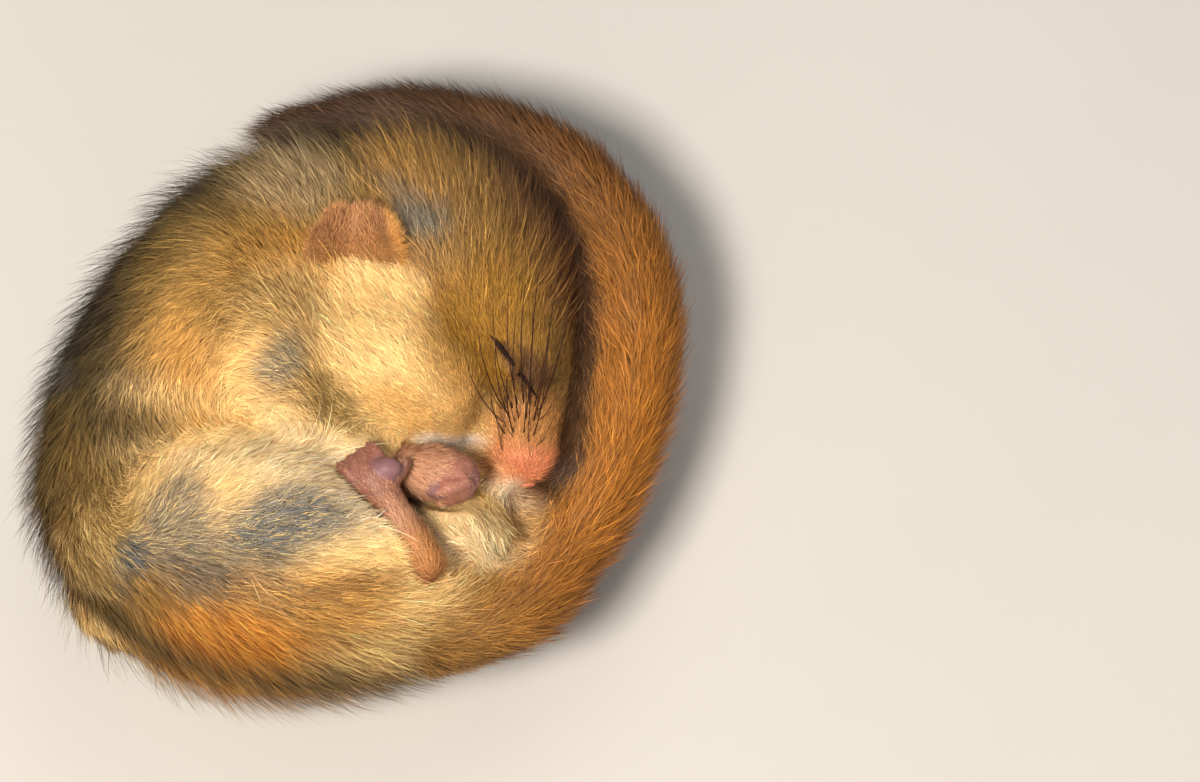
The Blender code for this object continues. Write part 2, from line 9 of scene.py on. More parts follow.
import bmesh
import bpy
import numpy as np
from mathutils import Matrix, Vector
from mathutils.bvhtree import BVHTree


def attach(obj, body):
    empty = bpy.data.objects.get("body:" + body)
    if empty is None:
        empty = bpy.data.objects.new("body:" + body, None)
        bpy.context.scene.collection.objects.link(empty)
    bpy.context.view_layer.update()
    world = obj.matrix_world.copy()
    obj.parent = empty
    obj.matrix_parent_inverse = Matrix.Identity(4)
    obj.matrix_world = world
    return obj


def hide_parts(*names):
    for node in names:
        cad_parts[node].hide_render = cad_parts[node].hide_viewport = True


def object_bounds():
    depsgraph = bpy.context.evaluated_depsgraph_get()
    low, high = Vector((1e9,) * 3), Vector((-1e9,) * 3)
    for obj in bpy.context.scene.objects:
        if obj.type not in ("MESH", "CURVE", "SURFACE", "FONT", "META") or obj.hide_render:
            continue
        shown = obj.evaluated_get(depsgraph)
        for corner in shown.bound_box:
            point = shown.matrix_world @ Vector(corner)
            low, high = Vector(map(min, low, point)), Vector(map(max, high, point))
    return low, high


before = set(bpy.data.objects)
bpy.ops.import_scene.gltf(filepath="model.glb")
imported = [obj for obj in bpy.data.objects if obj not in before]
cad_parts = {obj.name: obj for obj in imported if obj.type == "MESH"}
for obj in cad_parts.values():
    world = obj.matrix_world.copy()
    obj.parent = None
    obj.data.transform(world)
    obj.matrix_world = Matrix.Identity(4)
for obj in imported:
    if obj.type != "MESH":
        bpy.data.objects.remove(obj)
cad_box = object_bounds()

MM = 0.001
SEED = 7
CURL = np.array((-4.49, -4.05, -3.1))  # from the frame's origin to the middle of the curl
MID = 17.5  # height of the plane that halves the body
NOSE_TIP = np.array((17.9, -7.0, 20.0))
TAIL_BASE = np.array((10.4, -23.4, 17.0))
KNEE = np.array((-14.2, -14.6, 28.0))  # the middle of a whorl in the coat
BALL_INNER = 11.5  # from the curl's middle to where its back's colours start
BALL_WALL = 11.0
HALF_HEIGHT = 15.0
TAIL_START = 290  # degrees round the curl at which the tail leaves the rump

# Camera: the photograph's frame is 1200 by 782, with 12 of its pixels to a millimetre
FRAME_WIDE = 100.0
CAMERA_HEIGHT = 70.0  # degrees over the horizon
CAMERA_LENS = 180.0
SENSOR = 36.0
FRAME_MIDDLE = (24.1, 2.1, 18.0)

# Floor and lights, in metres and watts; a lamp has a name, place, width, power and colour
FLOOR_SIZE = 2.0
FLOOR_DROP = 0.0002  # how far the floor lies under the part
FLOOR_COLOUR = (0.52, 0.50, 0.475)
WORLD_COLOUR = (0.92, 0.94, 1.0, 1.0)
WORLD_STRENGTH = 0.24
LAMP_AIM = (0, 0, 0.015)
LAMPS = [
    ("key", (-0.11, -0.18, 0.42), 0.11, 3.0, (1.0, 0.93, 0.82)),
    ("fill", (0.10, 0.22, 0.40), 0.35, 0.6, (1.0, 0.95, 0.88)),
    ("low", (0.05, -0.45, 0.15), 0.3, 0.6, (1.0, 0.95, 0.88)),
]

# The coat by node: depth over the skin, hair length, lift from the skin in degrees, density
COAT = {
    "head": (0.7, 1.7, 24, 1.4),
    "neck": (0.9, 2.1, 26, 1.05),
    "torso_chest": (1.0, 2.2, 28, 1.0),
    "torso_loin": (1.0, 2.3, 28, 1.0),
    "torso_rump": (1.0, 2.2, 28, 1.0),
    "torso_belly": (0.7, 1.9, 26, 1.1),
    "upper_arm": (0.9, 2.0, 26, 1.1),
    "forearm": (0.6, 1.2, 24, 1.3),
    "thigh": (1.0, 2.1, 26, 1.0),
    "shank": (0.9, 1.9, 26, 1.2),
    "tail": (1.7, 3.3, 34, 1.15),
}
# The coat on the face, by distance from the tip of the nose
FACE_DEPTH = ((0, 4, 10, 20), (0.0, 0.1, 0.5, 0.75))
FACE_LENGTH = ((0, 3, 8, 14, 22), (0.55, 0.6, 0.85, 1.15, 1.6))
FACE_DENSITY = ((0, 5, 12, 22), (3.4, 2.8, 1.9, 1.3))

# The skin, with its smoothing in rounds over the mesh
WEIGHT_ROUNDS = 16  # how wide one part's coat runs into the next
LIE_ROUNDS = 40
BORDER_SOFT = 0.95  # how much the creases between parts of the body are filled
BORDER_ROUNDS = 50
FILL_ROUNDS = 140  # how wide the creases are that are filled from within
BRIDGE = 0.9  # how far nodes are grown, so that they run together and narrow clefts close
SKIN_VOXEL = 0.4
SKIN_SMOOTH = 14
FACE_SMOOTH = 4
INWARD_STEPS = 5  # the skin goes in under the coat in this many steps
UNTWIST_ROUNDS = 4  # how often twisted folds of the skin are eased
FLOOR_CLEAR = 0.05  # how far hairs stay over the floor
TOP_SOFT = 0.9  # the coat is pressed towards the solids' top over this height
TOP_PRESS = 0.65

# Hairs: how many, and how single blades differ in turn, roll and sweep, in radians
BODY_BLADES = 415_000
GUARD_BLADES = 20_000
UNMARKED = 0.22  # the share of hairs that cross a mark in the coat's own colour
PIECE_BLADES = 60_000
LIMB_BLADES = 8000
EAR_BLADES = 6000
LID_BLADES = 3600
GUARD_LENGTH = 4.5
GUARD_LIFT = 38
GUARD_WIDTH = 0.05
TURN_SPREAD = 0.24
ROLL_SPREAD = 0.5
SWEEP_SPREAD = 0.2
ROOT_SUNK = 0.12
MAP_SPAN = 0.003  # how far a blade spreads on the map that it shares with its skin
# A blade's steps from root to tip: each one's share of the length and of the width
STEP_LENGTHS = {2: (0.5, 0.5), 3: (0.34, 0.34, 0.32)}
STEP_WIDTHS = {2: (1.0, 0.8), 3: (1.0, 0.95, 0.65)}

PALETTE = {
    "back": (0.074, 0.050, 0.022),
    "saddle": (0.28, 0.165, 0.044),
    "gold": (0.66, 0.34, 0.08),
    "cream": (0.92, 0.60, 0.245),
    "pale": (0.90, 0.68, 0.42),
    "crown": (0.37, 0.20, 0.055),
    "crown_dark": (0.22, 0.085, 0.027),
    "ochre": (0.42, 0.20, 0.024),
    "umber": (0.34, 0.155, 0.038),
    "snout": (0.60, 0.26, 0.075),
    "rust": (0.48, 0.18, 0.024),
    "rust_dark": (0.16, 0.062, 0.014),
    "tip_dark": (0.07, 0.035, 0.018),
    "orange": (0.72, 0.28, 0.035),
    "slate": (0.075, 0.095, 0.11),
    "smoke": (0.17, 0.165, 0.14),
    "white": (0.92, 0.82, 0.74),
    "pink": (0.74, 0.24, 0.11),
    "maroon": (0.08, 0.028, 0.013),
    "paw": (0.36, 0.13, 0.07),
    "foot": (0.24, 0.085, 0.045),
    "paw_hair": (0.62, 0.33, 0.19),
    "pad": (0.20, 0.095, 0.10),
    "nose": (0.66, 0.22, 0.12),
    "ear": (0.15, 0.055, 0.02),
    "ear_flap": (0.33, 0.12, 0.022),
    "ear_hair": (0.56, 0.27, 0.11),
    "lid": (0.30, 0.135, 0.02),
    "eye": (0.02, 0.008, 0.006),
}

UNDER_TONE = (0.5, 0.5, 0.5, 1.0)
BUMP_DEPTH = 0.0001  # metres
SOAK_DEPTH = 0.0004

# Where the cheek's cream ends on the head, with a painted shadow just outside it, in picture millimetres
# from the ear to the lips
CHEEK_BORDER = [
    (-0.9, 12.8), (3.3, 12.8), (7.8, 12.3), (10.5, 9.6), (11.8, 5.8),
    (13.4, 3.6), (15.2, 1.2), (15.7, -1.3), (15.2, -6.5),
]
# Marks: colour, strength, middle (two values), size (two values) and turn in degrees
HEAD_SPOTS = [
    ("ochre", 0.85, 15.0, 6.5, 5.5, 7.0, 0),
    ("gold", 0.4, 6.5, 19.8, 8.5, 3.2, -10),
    ("pale", 0.35, -0.8, 18.4, 4.5, 3.4, 0),
    ("tip_dark", 0.6, -3.5, 23.8, 7.0, 2.2, 12),
    ("smoke", 0.8, 9.6, 15.4, 2.6, 1.7, -35),
    ("smoke", 0.4, 7.0, 18.2, 3.0, 0.9, -20),
    ("gold", 0.6, 7.0, 0.2, 6.5, 2.4, -12),
    ("saddle", 0.8, 2.6, 0.8, 4.8, 1.5, -28),
    ("white", 0.8, 12.0, -2.2, 3.4, 0.9, -6),
    ("gold", 0.5, 13.2, 1.6, 1.4, 2.6, 10),
    # This umber mark and the maroon one below lie in front of the eye: partly its dark fur, partly painted
    # shade cast by the whiskers
    ("umber", 0.6, 18.6, 1.8, 1.0, 1.6, 10),
    ("snout", 0.85, 18.2, -1.6, 4.4, 3.4, 0),
    ("pink", 0.9, 18.0, -4.8, 4.6, 2.4, 0),
    # Dark fur in front of the eye with painted whisker shade, as with the umber mark above
    ("maroon", 0.75, 18.2, 3.2, 3.0, 1.5, -60),
    ("white", 0.9, 16.2, -6.3, 2.4, 0.9, -18),
    ("white", 0.9, 20.3, -5.9, 2.0, 0.8, 50),
]
BODY_SPOTS = [
    ("saddle", 0.9, 2.4, 0.8, 6.0, 2.1, -25),
    ("tip_dark", 0.7, -4.0, 23.6, 7.5, 2.4, 12),
    ("saddle", 0.65, -7.8, 12.2, 6.0, 4.6, 0),
    ("saddle", 0.55, -20.0, -1.0, 3.0, 6.0, 0),
    ("pale", 0.35, -0.8, 18.4, 4.5, 3.4, 0),
    ("gold", 0.5, -5.5, 5.4, 8.0, 4.4, -14),
    ("saddle", 0.6, -4.2, 8.6, 5.0, 2.8, 0),
    ("smoke", 0.75, -1.0, 4.2, 2.2, 2.7, -15),
    ("cream", 0.5, -9.0, 2.4, 6.5, 1.6, -10),
    ("cream", 0.6, -9.5, -1.6, 8.0, 1.6, 4),
    ("saddle", 0.9, -16.8, -9.4, 4.8, 8.6, 12),
    ("back", 0.25, -18.6, -13.5, 3.0, 6.0, 20),
    ("pale", 1.0, 2.0, -5.8, 7.2, 4.2, -18),
    ("pale", 0.5, -6.0, -3.8, 6.0, 2.2, 8),
    ("pale", 0.7, 13.0, -10.2, 4.5, 3.0, 0),
    ("slate", 0.9, -2.4, -8.8, 6.6, 3.2, 14),
    ("slate", 0.4, -5.6, -11.8, 6.5, 2.6, 8),
    ("slate", 0.75, -10.5, -9.2, 2.8, 4.6, -8),
    ("slate", 0.45, -8.2, -12.6, 2.2, 1.6, 10),
    ("slate", 0.9, -14.0, -10.9, 1.6, 1.5, 0),
    ("slate", 0.5, -15.6, -12.6, 0.8, 1.5, 10),
    ("slate", 0.5, -8.6, -15.0, 0.9, 0.5, 20),
    ("slate", 0.7, 8.3, -7.5, 1.0, 0.8, -30),
    ("smoke", 0.6, -18.8, 4.2, 1.2, 1.5, 0),
    # The umber line lies in the crease between shank and rump: partly the coat's own umber, partly painted
    # shade in the crease
    ("umber", 0.75, 2.8, -13.9, 5.6, 0.7, 20),
    ("orange", 0.9, -6.6, -17.2, 6.8, 2.6, -14),
    ("gold", 0.45, 5.0, -18.6, 5.5, 1.8, 4),
    ("cream", 0.6, 6.0, -18.5, 8.0, 2.3, 4),
    ("cream", 0.85, 10.0, -14.8, 5.4, 2.6, 15),
    ("smoke", 0.4, 15.0, -12.6, 1.6, 1.2, 40),
]
MARK_SOFT = 0.6
EAR_FOLD = 6.4  # where the flap of the ear starts
FOOT_SLIM = 0.4  # the foot's hair stands this far over its skin
EAR_DROP = 1.6  # how far the ear's lower edge is sunk, so that the cheek's hair covers it
# The closed eye's line, running on into a dark streak in front of it that is partly dark fur and partly
# painted shade, in picture millimetres
EYE_LINE = [(15.0, 6.6), (15.5, 6.1), (16.1, 5.3), (16.9, 4.3), (17.6, 3.3), (18.3, 2.3), (19.0, 1.4)]
EYE_LINE_THICK = (0.03, 0.17, 0.22, 0.15, 0.16, 0.15, 0.04)
LID_TURN = 32.0
LID_SCALE = (0.85, 0.9, 0.4)  # the lids lie lower than their solids, which reach to the lashes
LID_SUNK = 0.25
EYE_LINE_RISE = 0.2
# Whiskers: root, end, bow and rise, in picture millimetres
WHISKERS = [
    (16.4, 0.2, 14.2, 6.6, -0.8, 1.6),
    (16.9, 0.6, 15.4, 8.6, -0.9, 2.0),
    (17.3, 0.9, 16.6, 10.0, -0.7, 2.2),
    (17.8, 1.0, 18.0, 10.8, -0.5, 2.4),
    (18.3, 0.9, 19.0, 11.2, -0.2, 2.4),
    (18.7, 0.7, 20.4, 10.4, 0.4, 2.2),
    (19.1, 0.4, 21.6, 9.4, 0.7, 1.8),
    (16.1, -0.6, 13.2, 4.6, -1.0, 1.4),
    (16.7, -0.4, 15.6, 6.4, -0.9, 1.8),
    (17.4, -0.3, 17.2, 8.0, -0.6, 2.2),
    (18.0, -0.3, 18.6, 8.4, 0.3, 2.2),
    (18.6, -0.5, 20.0, 7.6, 0.5, 2.0),
    (16.3, -1.6, 15.2, 2.6, -0.8, 1.2),
    (17.0, -1.5, 16.6, 3.4, -0.6, 1.4),
    (17.8, -1.5, 18.0, 3.6, 0.3, 1.4),
    (18.6, -1.7, 19.6, 3.0, 0.4, 1.4),
]
NOSE_SUNK = 0.78
NOSE_SCALE = (1.15, 0.9, 0.75)
NOSTRILS = np.array((17.8, -7.6, 20.6))
WHISKER_THICK = 0.058
WHISKER_RISE = 0.9  # how far the whiskers stand over the coat
WHISKER_POINTS = 12
SHORT_WHISKERS = 16
SHORT_ROOTS = ((15.9, 19.3), (-3.2, 1.2))  # right and up in the picture
SHORT_MIDDLE = 17.6
HEAD_EDGE = 21.0  # beyond this the tail lies behind the whiskers
# Hands and feet: node, bare pads with their sizes, and the line from wrist or heel to the tips
LIMB_ENDS = [
    ("hand_right", [((10.8, -9.6, 26.8), (1.0, 0.8, 0.8))], ((8.6, -7.6, 25.6), (13.0, -9.0, 25.8))),
    ("hand_left", [], ((8.6, -7.6, 9.4), (13.0, -9.0, 9.2))),
    ("foot_right", [((6.9, -8.8, 29.7), (1.25, 0.95, 0.9))], ((10.3, -15.6, 25.4), (4.4, -7.4, 29.0))),
    ("foot_left", [((18.7, -7.9, 16.2), (1.0, 1.3, 1.4))], ((9.6, -16.4, 9.6), (16.6, -10.0, 13.5))),
]


def at(x, y, z):
    return Vector((x + CURL[0], y + CURL[1], z + CURL[2])) * MM


def in_curl(points):
    """Points of the frame, in metres, as millimetres from the middle of the curl."""
    return np.asarray(points) / MM - CURL


def kind_of(node):
    if node.startswith("tail"):
        return "tail"
    return node.replace("_right", "").replace("_left", "")


FUR_NODES = [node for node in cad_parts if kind_of(node) in COAT]


# Meshes and numbers


def read(items, key, width, kind=np.float32):
    values = np.empty(len(items) * width, kind)
    items.foreach_get(key, values)
    return values.reshape(-1, width)


def arrays_of(mesh):
    """A mesh's points and normals."""
    points = read(mesh.vertices, "co", 3)
    return points.astype(float), read(mesh.vertex_normals, "vector", 3).astype(float)


def triangles_of(mesh):
    """Each triangle's points and its corners."""
    mesh.calc_loop_triangles()
    faces = mesh.loop_triangles
    return read(faces, "vertices", 3, np.int32), read(faces, "loops", 3, np.int32)


def edges_of(mesh):
    return read(mesh.edges, "vertices", 2, np.int32)


def set_points(mesh, points):
    mesh.vertices.foreach_set("co", points.astype(np.float32).ravel())
    mesh.update()


def tree_of(points, corners):
    return BVHTree.FromPolygons(points.tolist(), corners.tolist())


def smoothed(values, edges, rounds, share=0.5):
    """Values at a mesh's points, each moved towards the mean of its neighbours."""
    values = np.array(values, float)
    flat = values.reshape(len(values), -1)
    count = np.bincount(edges.ravel(), minlength=len(flat))[:, None]
    a, b = edges.T
    for _ in range(rounds):
        total = np.zeros_like(flat)
        for column in range(flat.shape[1]):
            total[:, column] = np.bincount(a, flat[b, column], len(flat))
            total[:, column] += np.bincount(b, flat[a, column], len(flat))
        flat += (total / count - flat) * share
    return flat.reshape(values.shape)


def eased_shape(points, edges, rounds):
    """Rounds off creases without shrinking the shape."""
    for _ in range(rounds):
        points = smoothed(points, edges, 1)
        points = smoothed(points, edges, 1, -0.52)
    return points


def far_from(place, points):
    return np.linalg.norm(points - place, axis=1)


def unit(vectors):
    return vectors / np.maximum(np.linalg.norm(vectors, axis=-1, keepdims=True), 1e-9)


def ease(value, low, high):
    t = np.clip((value - low) / (high - low), 0.0, 1.0)
    return t * t * (3 - 2 * t)


def straight(way, count):
    return np.tile(unit(np.array(way)), (count, 1))


def new_object(name, mesh):
    thing = bpy.data.objects.new(name, mesh)
    bpy.context.scene.collection.objects.link(thing)
    return thing


def evaluated(thing):
    graph = bpy.context.evaluated_depsgraph_get()
    return bpy.data.meshes.new_from_object(thing.evaluated_get(graph))


def grown(node, grow):
    """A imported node's shape, grown by some millimetres."""
    shape = bmesh.new()
    shape.from_mesh(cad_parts[node].data)
    bmesh.ops.remove_doubles(shape, verts=shape.verts, dist=1e-6)
    shape.normal_update()
    moved = [v.co + v.normal * grow * MM for v in shape.verts]
    for vert, place in zip(shape.verts, moved):
        vert.co = place
    return shape


def object_of(name, shapes):
    """One object from several shapes."""
    whole = bmesh.new()
    for shape in shapes:
        mesh = bpy.data.meshes.new("shape")
        shape.to_mesh(mesh)
        shape.free()
        whole.from_mesh(mesh)
        bpy.data.meshes.remove(mesh)
    mesh = bpy.data.meshes.new(name)
    whole.to_mesh(mesh)
    whole.free()
    return new_object(name, mesh)


def remeshed(thing, voxel):
    step = thing.modifiers.new("Remesh", "REMESH")
    step.mode = "VOXEL"
    step.voxel_size = voxel * MM
    mesh = evaluated(thing)
    thing.modifiers.clear()
    thing.data = mesh
    return thing


def keep_largest(thing):
    model = bmesh.new()
    model.from_mesh(thing.data)
    seen = set()
    groups = []
    for start in model.verts:
        if start in seen:
            continue
        seen.add(start)
        group = [start]
        for vert in group:
            for edge in vert.link_edges:
                other = edge.other_vert(vert)
                if other not in seen:
                    seen.add(other)
                    group.append(other)
        groups.append(group)
    groups.sort(key=len)
    loose = [v for group in groups[:-1] for v in group]
    bmesh.ops.delete(model, geom=loose, context="VERTS")
    model.to_mesh(thing.data)
    model.free()
    return thing


# Materials


def set_inputs(node, **values):
    """Values for a shader node's inputs, named with _ for each space."""
    for name, value in values.items():
        node.inputs[name.replace("_", " ")].default_value = value


def material(name, roughness, specular):
    made = bpy.data.materials.new(name)
    made.use_nodes = True
    shader = made.node_tree.nodes["Principled BSDF"]
    set_inputs(shader, Base_Color=UNDER_TONE, Roughness=roughness, Specular_IOR_Level=specular)
    return made, made.node_tree, shader


def flat_colour(tree, colour):
    node = tree.nodes.new("ShaderNodeRGB")
    node.outputs[0].default_value = (*colour, 1.0)
    return node.outputs[0]


def noise(tree, scale, detail):
    place = tree.nodes.new("ShaderNodeTexCoord")
    cloud = tree.nodes.new("ShaderNodeTexNoise")
    set_inputs(cloud, Scale=scale, Detail=detail)
    tree.links.new(place.outputs["Object"], cloud.inputs["Vector"])
    return cloud.outputs["Fac"]


def varied_colour(tree, shader, source, scale, low, high):
    """The source colour, lighter and darker with a fine cloud."""
    levels = tree.nodes.new("ShaderNodeMapRange")
    set_inputs(levels, From_Min=0.3, From_Max=0.7, To_Min=low, To_Max=high)
    tree.links.new(noise(tree, scale, 3.0), levels.inputs["Value"])
    product = tree.nodes.new("ShaderNodeVectorMath")
    product.operation = "SCALE"
    tree.links.new(source, product.inputs[0])
    tree.links.new(levels.outputs["Result"], product.inputs["Scale"])
    tree.links.new(product.outputs[0], shader.inputs["Base Color"])


def bump_from(tree, shader, scale, strength):
    bump = tree.nodes.new("ShaderNodeBump")
    set_inputs(bump, Strength=strength, Distance=BUMP_DEPTH)
    tree.links.new(noise(tree, scale, 4.0), bump.inputs["Height"])
    tree.links.new(bump.outputs["Normal"], shader.inputs["Normal"])


def coat_material(name, roughness):
    made, tree, shader = material(name, roughness, 0.3)
    marks = tree.nodes.new("ShaderNodeAttribute")
    marks.attribute_name = "coat"
    varied_colour(tree, shader, marks.outputs["Color"], 900.0, 0.88, 1.12)
    return made


def soft_material(name, roughness, grain):
    """Bare skin: painted colour, finely mottled and wrinkled, with light soaking in."""
    made = coat_material(name, roughness)
    tree = made.node_tree
    shader = tree.nodes["Principled BSDF"]
    set_inputs(shader, Subsurface_Weight=0.12, Subsurface_Scale=SOAK_DEPTH)
    bump_from(tree, shader, grain, 0.35)
    return made


def skin_material(name, colour, roughness, scale, low, high, strength=0.3):
    made, tree, shader = material(name, roughness, 0.12)
    varied_colour(tree, shader, flat_colour(tree, colour), scale, low, high)
    bump_from(tree, shader, scale * 2.5, strength)
    return made


# The picture's own plane: millimetres right and up of the curl's middle, as the camera sees it

RAISED = math.radians(CAMERA_HEIGHT)
TO_CAMERA = np.array((0.0, -math.cos(RAISED), math.sin(RAISED)))
PICTURE_UP = np.array((0.0, math.sin(RAISED), math.cos(RAISED)))
PICTURE_HEIGHT = 18.0  # the height of the picture plane's middle


def pictured(points):
    """Each point's place in the picture; the hidden half takes its mirror image's."""
    height = np.abs(points[:, 2] - MID) + MID
    up = points[:, 1] * PICTURE_UP[1] + (height - PICTURE_HEIGHT) * PICTURE_UP[2]
    return np.stack((points[:, 0], up), axis=1)


def flipped(way, left):
    return way * np.array((1.0, 1.0, -1.0 if left else 1.0))


def seen(tree, right, up, left):
    """The point that the camera sees at a place in the picture, or its mirror image's on the left."""
    start = np.array((right, 0.0, PICTURE_HEIGHT)) + PICTURE_UP * up + TO_CAMERA * 60
    way = -TO_CAMERA
    if left:
        start[2] = 2 * MID - start[2]
    return tree.ray_cast(at(*start), Vector(flipped(way, left)))[0]


# The lie and the markings of the coat, as functions of place


def tangent_round_curl(points):
    """Along the spine from nape to tail tip, which all runs one way round the curl."""
    return unit(np.stack((-points[:, 1], points[:, 0], np.zeros(len(points))), axis=1))


# How much the hair of a part runs straight away from the face
FROM_FACE = {"head": 1.0, "neck": 0.85, "upper_arm": 0.8, "torso_chest": 0.6, "torso_loin": 0.35}
STRAIGHT_LIE = {"forearm": (0.85, -0.5, 0.0), "torso_belly": (0.3, -1.0, 0.0)}
SWIRL_TURN = 38  # degrees at the middle of the knee's whorl


def lie_of(kind, points):
    round_curl = tangent_round_curl(points)
    if kind in FROM_FACE:
        away = points - NOSE_TIP
        away[:, 2] *= 0.8
        return unit(unit(away) * FROM_FACE[kind] + round_curl * (1 - FROM_FACE[kind]))
    if kind == "shank":
        away = points - KNEE
        low = points[:, 2] < MID
        away[low, 2] = points[low, 2] - (2 * MID - KNEE[2])
        far = np.linalg.norm(away, axis=1)
        turn = np.radians(SWIRL_TURN) * np.exp(-far / 9.0)
        c, s = np.cos(turn), np.sin(turn)
        x, y, z = away.T
        swirl = np.stack((x * c - y * s, x * s + y * c, z), axis=1)
        swirl = unit(unit(swirl) + 0.3 * np.array((1.0, 0.0, 0.0)))
        return swirl + (round_curl - swirl) * ease(points[:, 0], -12.5, -17.5)[:, None]
    if kind in STRAIGHT_LIE:
        return straight(STRAIGHT_LIE[kind], len(points))
    return round_curl


def line_far(places, corners):
    """Distance of picture places from a broken line, negative on its right-hand side."""
    best = np.full(len(places), 1e9)
    side = np.ones(len(places))
    for a, b in zip(corners, corners[1:]):
        a, b = np.array(a), np.array(b)
        run = b - a
        t = np.clip(((places - a) @ run) / (run @ run), 0, 1)
        off = places - (a + t[:, None] * run)
        far = np.linalg.norm(off, axis=1)
        turn = run[0] * off[:, 1] - run[1] * off[:, 0]
        nearer = far < best
        best = np.where(nearer, far, best)
        side = np.where(nearer, np.sign(turn), side)
    return best * side


def spot(places, right, up, wide, high, turn):
    """1 inside an ellipse of the picture, fading out at its rim."""
    c, s = math.cos(math.radians(turn)), math.sin(math.radians(turn))
    off = places - (right, up)
    off = np.stack((off[:, 0] * c + off[:, 1] * s, off[:, 1] * c - off[:, 0] * s), axis=1) / (wide, high)
    return 1 - ease(np.linalg.norm(off, axis=1), 1 - MARK_SOFT, 1 + MARK_SOFT * 0.5)


def painted(name, count):
    return np.tile(np.array(PALETTE[name]), (count, 1))


def mix(base, name, share):
    return base + (np.array(PALETTE[name]) - base) * share[:, None]


def layered(colour, *layers):
    """A colour with others mixed in one after the other, each by its share at every point."""
    for name, share in layers:
        colour = mix(colour, name, share)
    return colour


def markings(points, weights):
    """The coat's colour at points, with and without the marks on the body."""
    count = len(points)
    cloud = wavy(points, 0.55, 1.1)
    places = pictured(points)
    places = places + np.stack((wavy(points, 0.8, 0.3), wavy(points, 0.8, 2.9)), axis=1) * 0.45
    right, up = places.T
    radius = np.hypot(points[:, 0], points[:, 1])
    angle = np.degrees(np.arctan2(points[:, 1], points[:, 0])) % 360
    out = (radius - BALL_INNER) / BALL_WALL
    side = (points[:, 2] - MID) / HALF_HEIGHT
    dorsal = out / np.maximum(np.hypot(out, side), 1e-6)
    nape = 0.5 * ease(angle, 118, 96)
    rear = 1 - 0.65 * ease(angle, 165, 225)
    rear *= 1 - 0.6 * ease(angle, 120, 98)
    trunk = layered(
        painted("gold", count),
        ("saddle", ease(dorsal + 0.08 * cloud, -0.3, 0.3)),
        ("back", ease(dorsal + 0.08 * cloud, nape - 0.1, 0.5 + nape) * rear),
        ("cream", ease(-dorsal, 0.15, 0.6) * ease(radius, 16, 12)),
    )
    inside = -line_far(places, CHEEK_BORDER) + 0.3 * cloud
    head = layered(
        painted("crown", count),
        ("saddle", ease(right, 9.0, 2.0) * ease(up, 8.0, 14.0)),
        ("crown_dark", ease(right * 0.85 + up * 0.4, 18.5, 22.5)),
        ("gold", ease(up, 11.0, 6.0) * ease(right, 3.0, -1.0) * 0.8),
        # Painted shadow: a brown band just outside the cheek's border, under the ear and down the cheek's
        # upper edge, where the bulging cheek shades the fur beside it
        ("umber", np.exp(-(((inside + 0.7) / 0.8) ** 2)) * 0.6),
        ("cream", ease(inside, -0.5, 1.0)),
        *((name, spot(places, *shape) * share) for name, share, *shape in HEAD_SPOTS),
    )
    along = (angle - TAIL_START) % 360
    tail = layered(
        painted("rust", count),
        ("rust_dark", ease(along, 60, 130) * 0.85),
        ("tip_dark", ease(along, 95, 150) * 0.9),
        ("rust_dark", ease(along, 60, 20) * 0.4),
        ("saddle", ease(along, 34, 4) * 0.6),
    )
    pale = painted("cream", count)
    thigh = mix(trunk, "gold", np.full(count, 0.85))
    looks = dict(head=head, shank=pale, tail=tail, torso_belly=pale, forearm=pale, thigh=thigh)
    colour = np.zeros((count, 3))
    for kind, share in weights.items():
        colour += looks.get(kind, trunk) * share[:, None]
    body = 1 - weights["head"] - weights["tail"]
    body = body * (ease(points[:, 2], MID - 1.5, MID + 0.5) + ease(points[:, 2], MID - 5.5, MID - 8.5))
    spots = ((name, spot(places, *shape) * share * body) for name, share, *shape in BODY_SPOTS)
    # Painted shade: the deep cleft between head and tail is darkened towards tip_dark, partly for the
    # darker fur there and partly for the shade in the cleft
    cleft = ease(weights["head"] * weights["tail"], 0.02, 0.2) * 0.9
    marked = mix(layered(colour, *spots), "tip_dark", cleft)
    return marked.clip(0.005, 1.0), mix(colour, "tip_dark", cleft).clip(0.005, 1.0)


# The skin: one closed surface in place of all the fleshy nodes


def distance_to(points, nodes):
    """How far each point is from the nearest of some nodes."""
    best = np.full(len(points), 1e9)
    for node in nodes:
        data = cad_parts[node].data
        tree = tree_of(arrays_of(data)[0], triangles_of(data)[0])
        found = [tree.find_nearest(Vector(p), 0.006)[3] for p in points]
        best = np.minimum(best, [1e9 if far is None else far for far in found])
    return best


def shares_of_kinds(points, edges, kinds):
    """How much of each kind of node every point belongs to."""
    verts, faces, owner = [], [], []
    first = 0
    for node in FUR_NODES:
        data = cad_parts[node].data
        corners, _ = triangles_of(data)
        places, _ = arrays_of(data)
        verts.append(places)
        faces.append(corners + first)
        owner += [kinds.index(kind_of(node))] * len(corners)
        first += len(places)
    tree = tree_of(np.vstack(verts), np.vstack(faces))
    label = [owner[tree.find_nearest(Vector(p))[2]] for p in points]
    weights = np.zeros((len(points), len(kinds)))
    weights[np.arange(len(points)), label] = 1.0
    return smoothed(weights, edges, WEIGHT_ROUNDS)


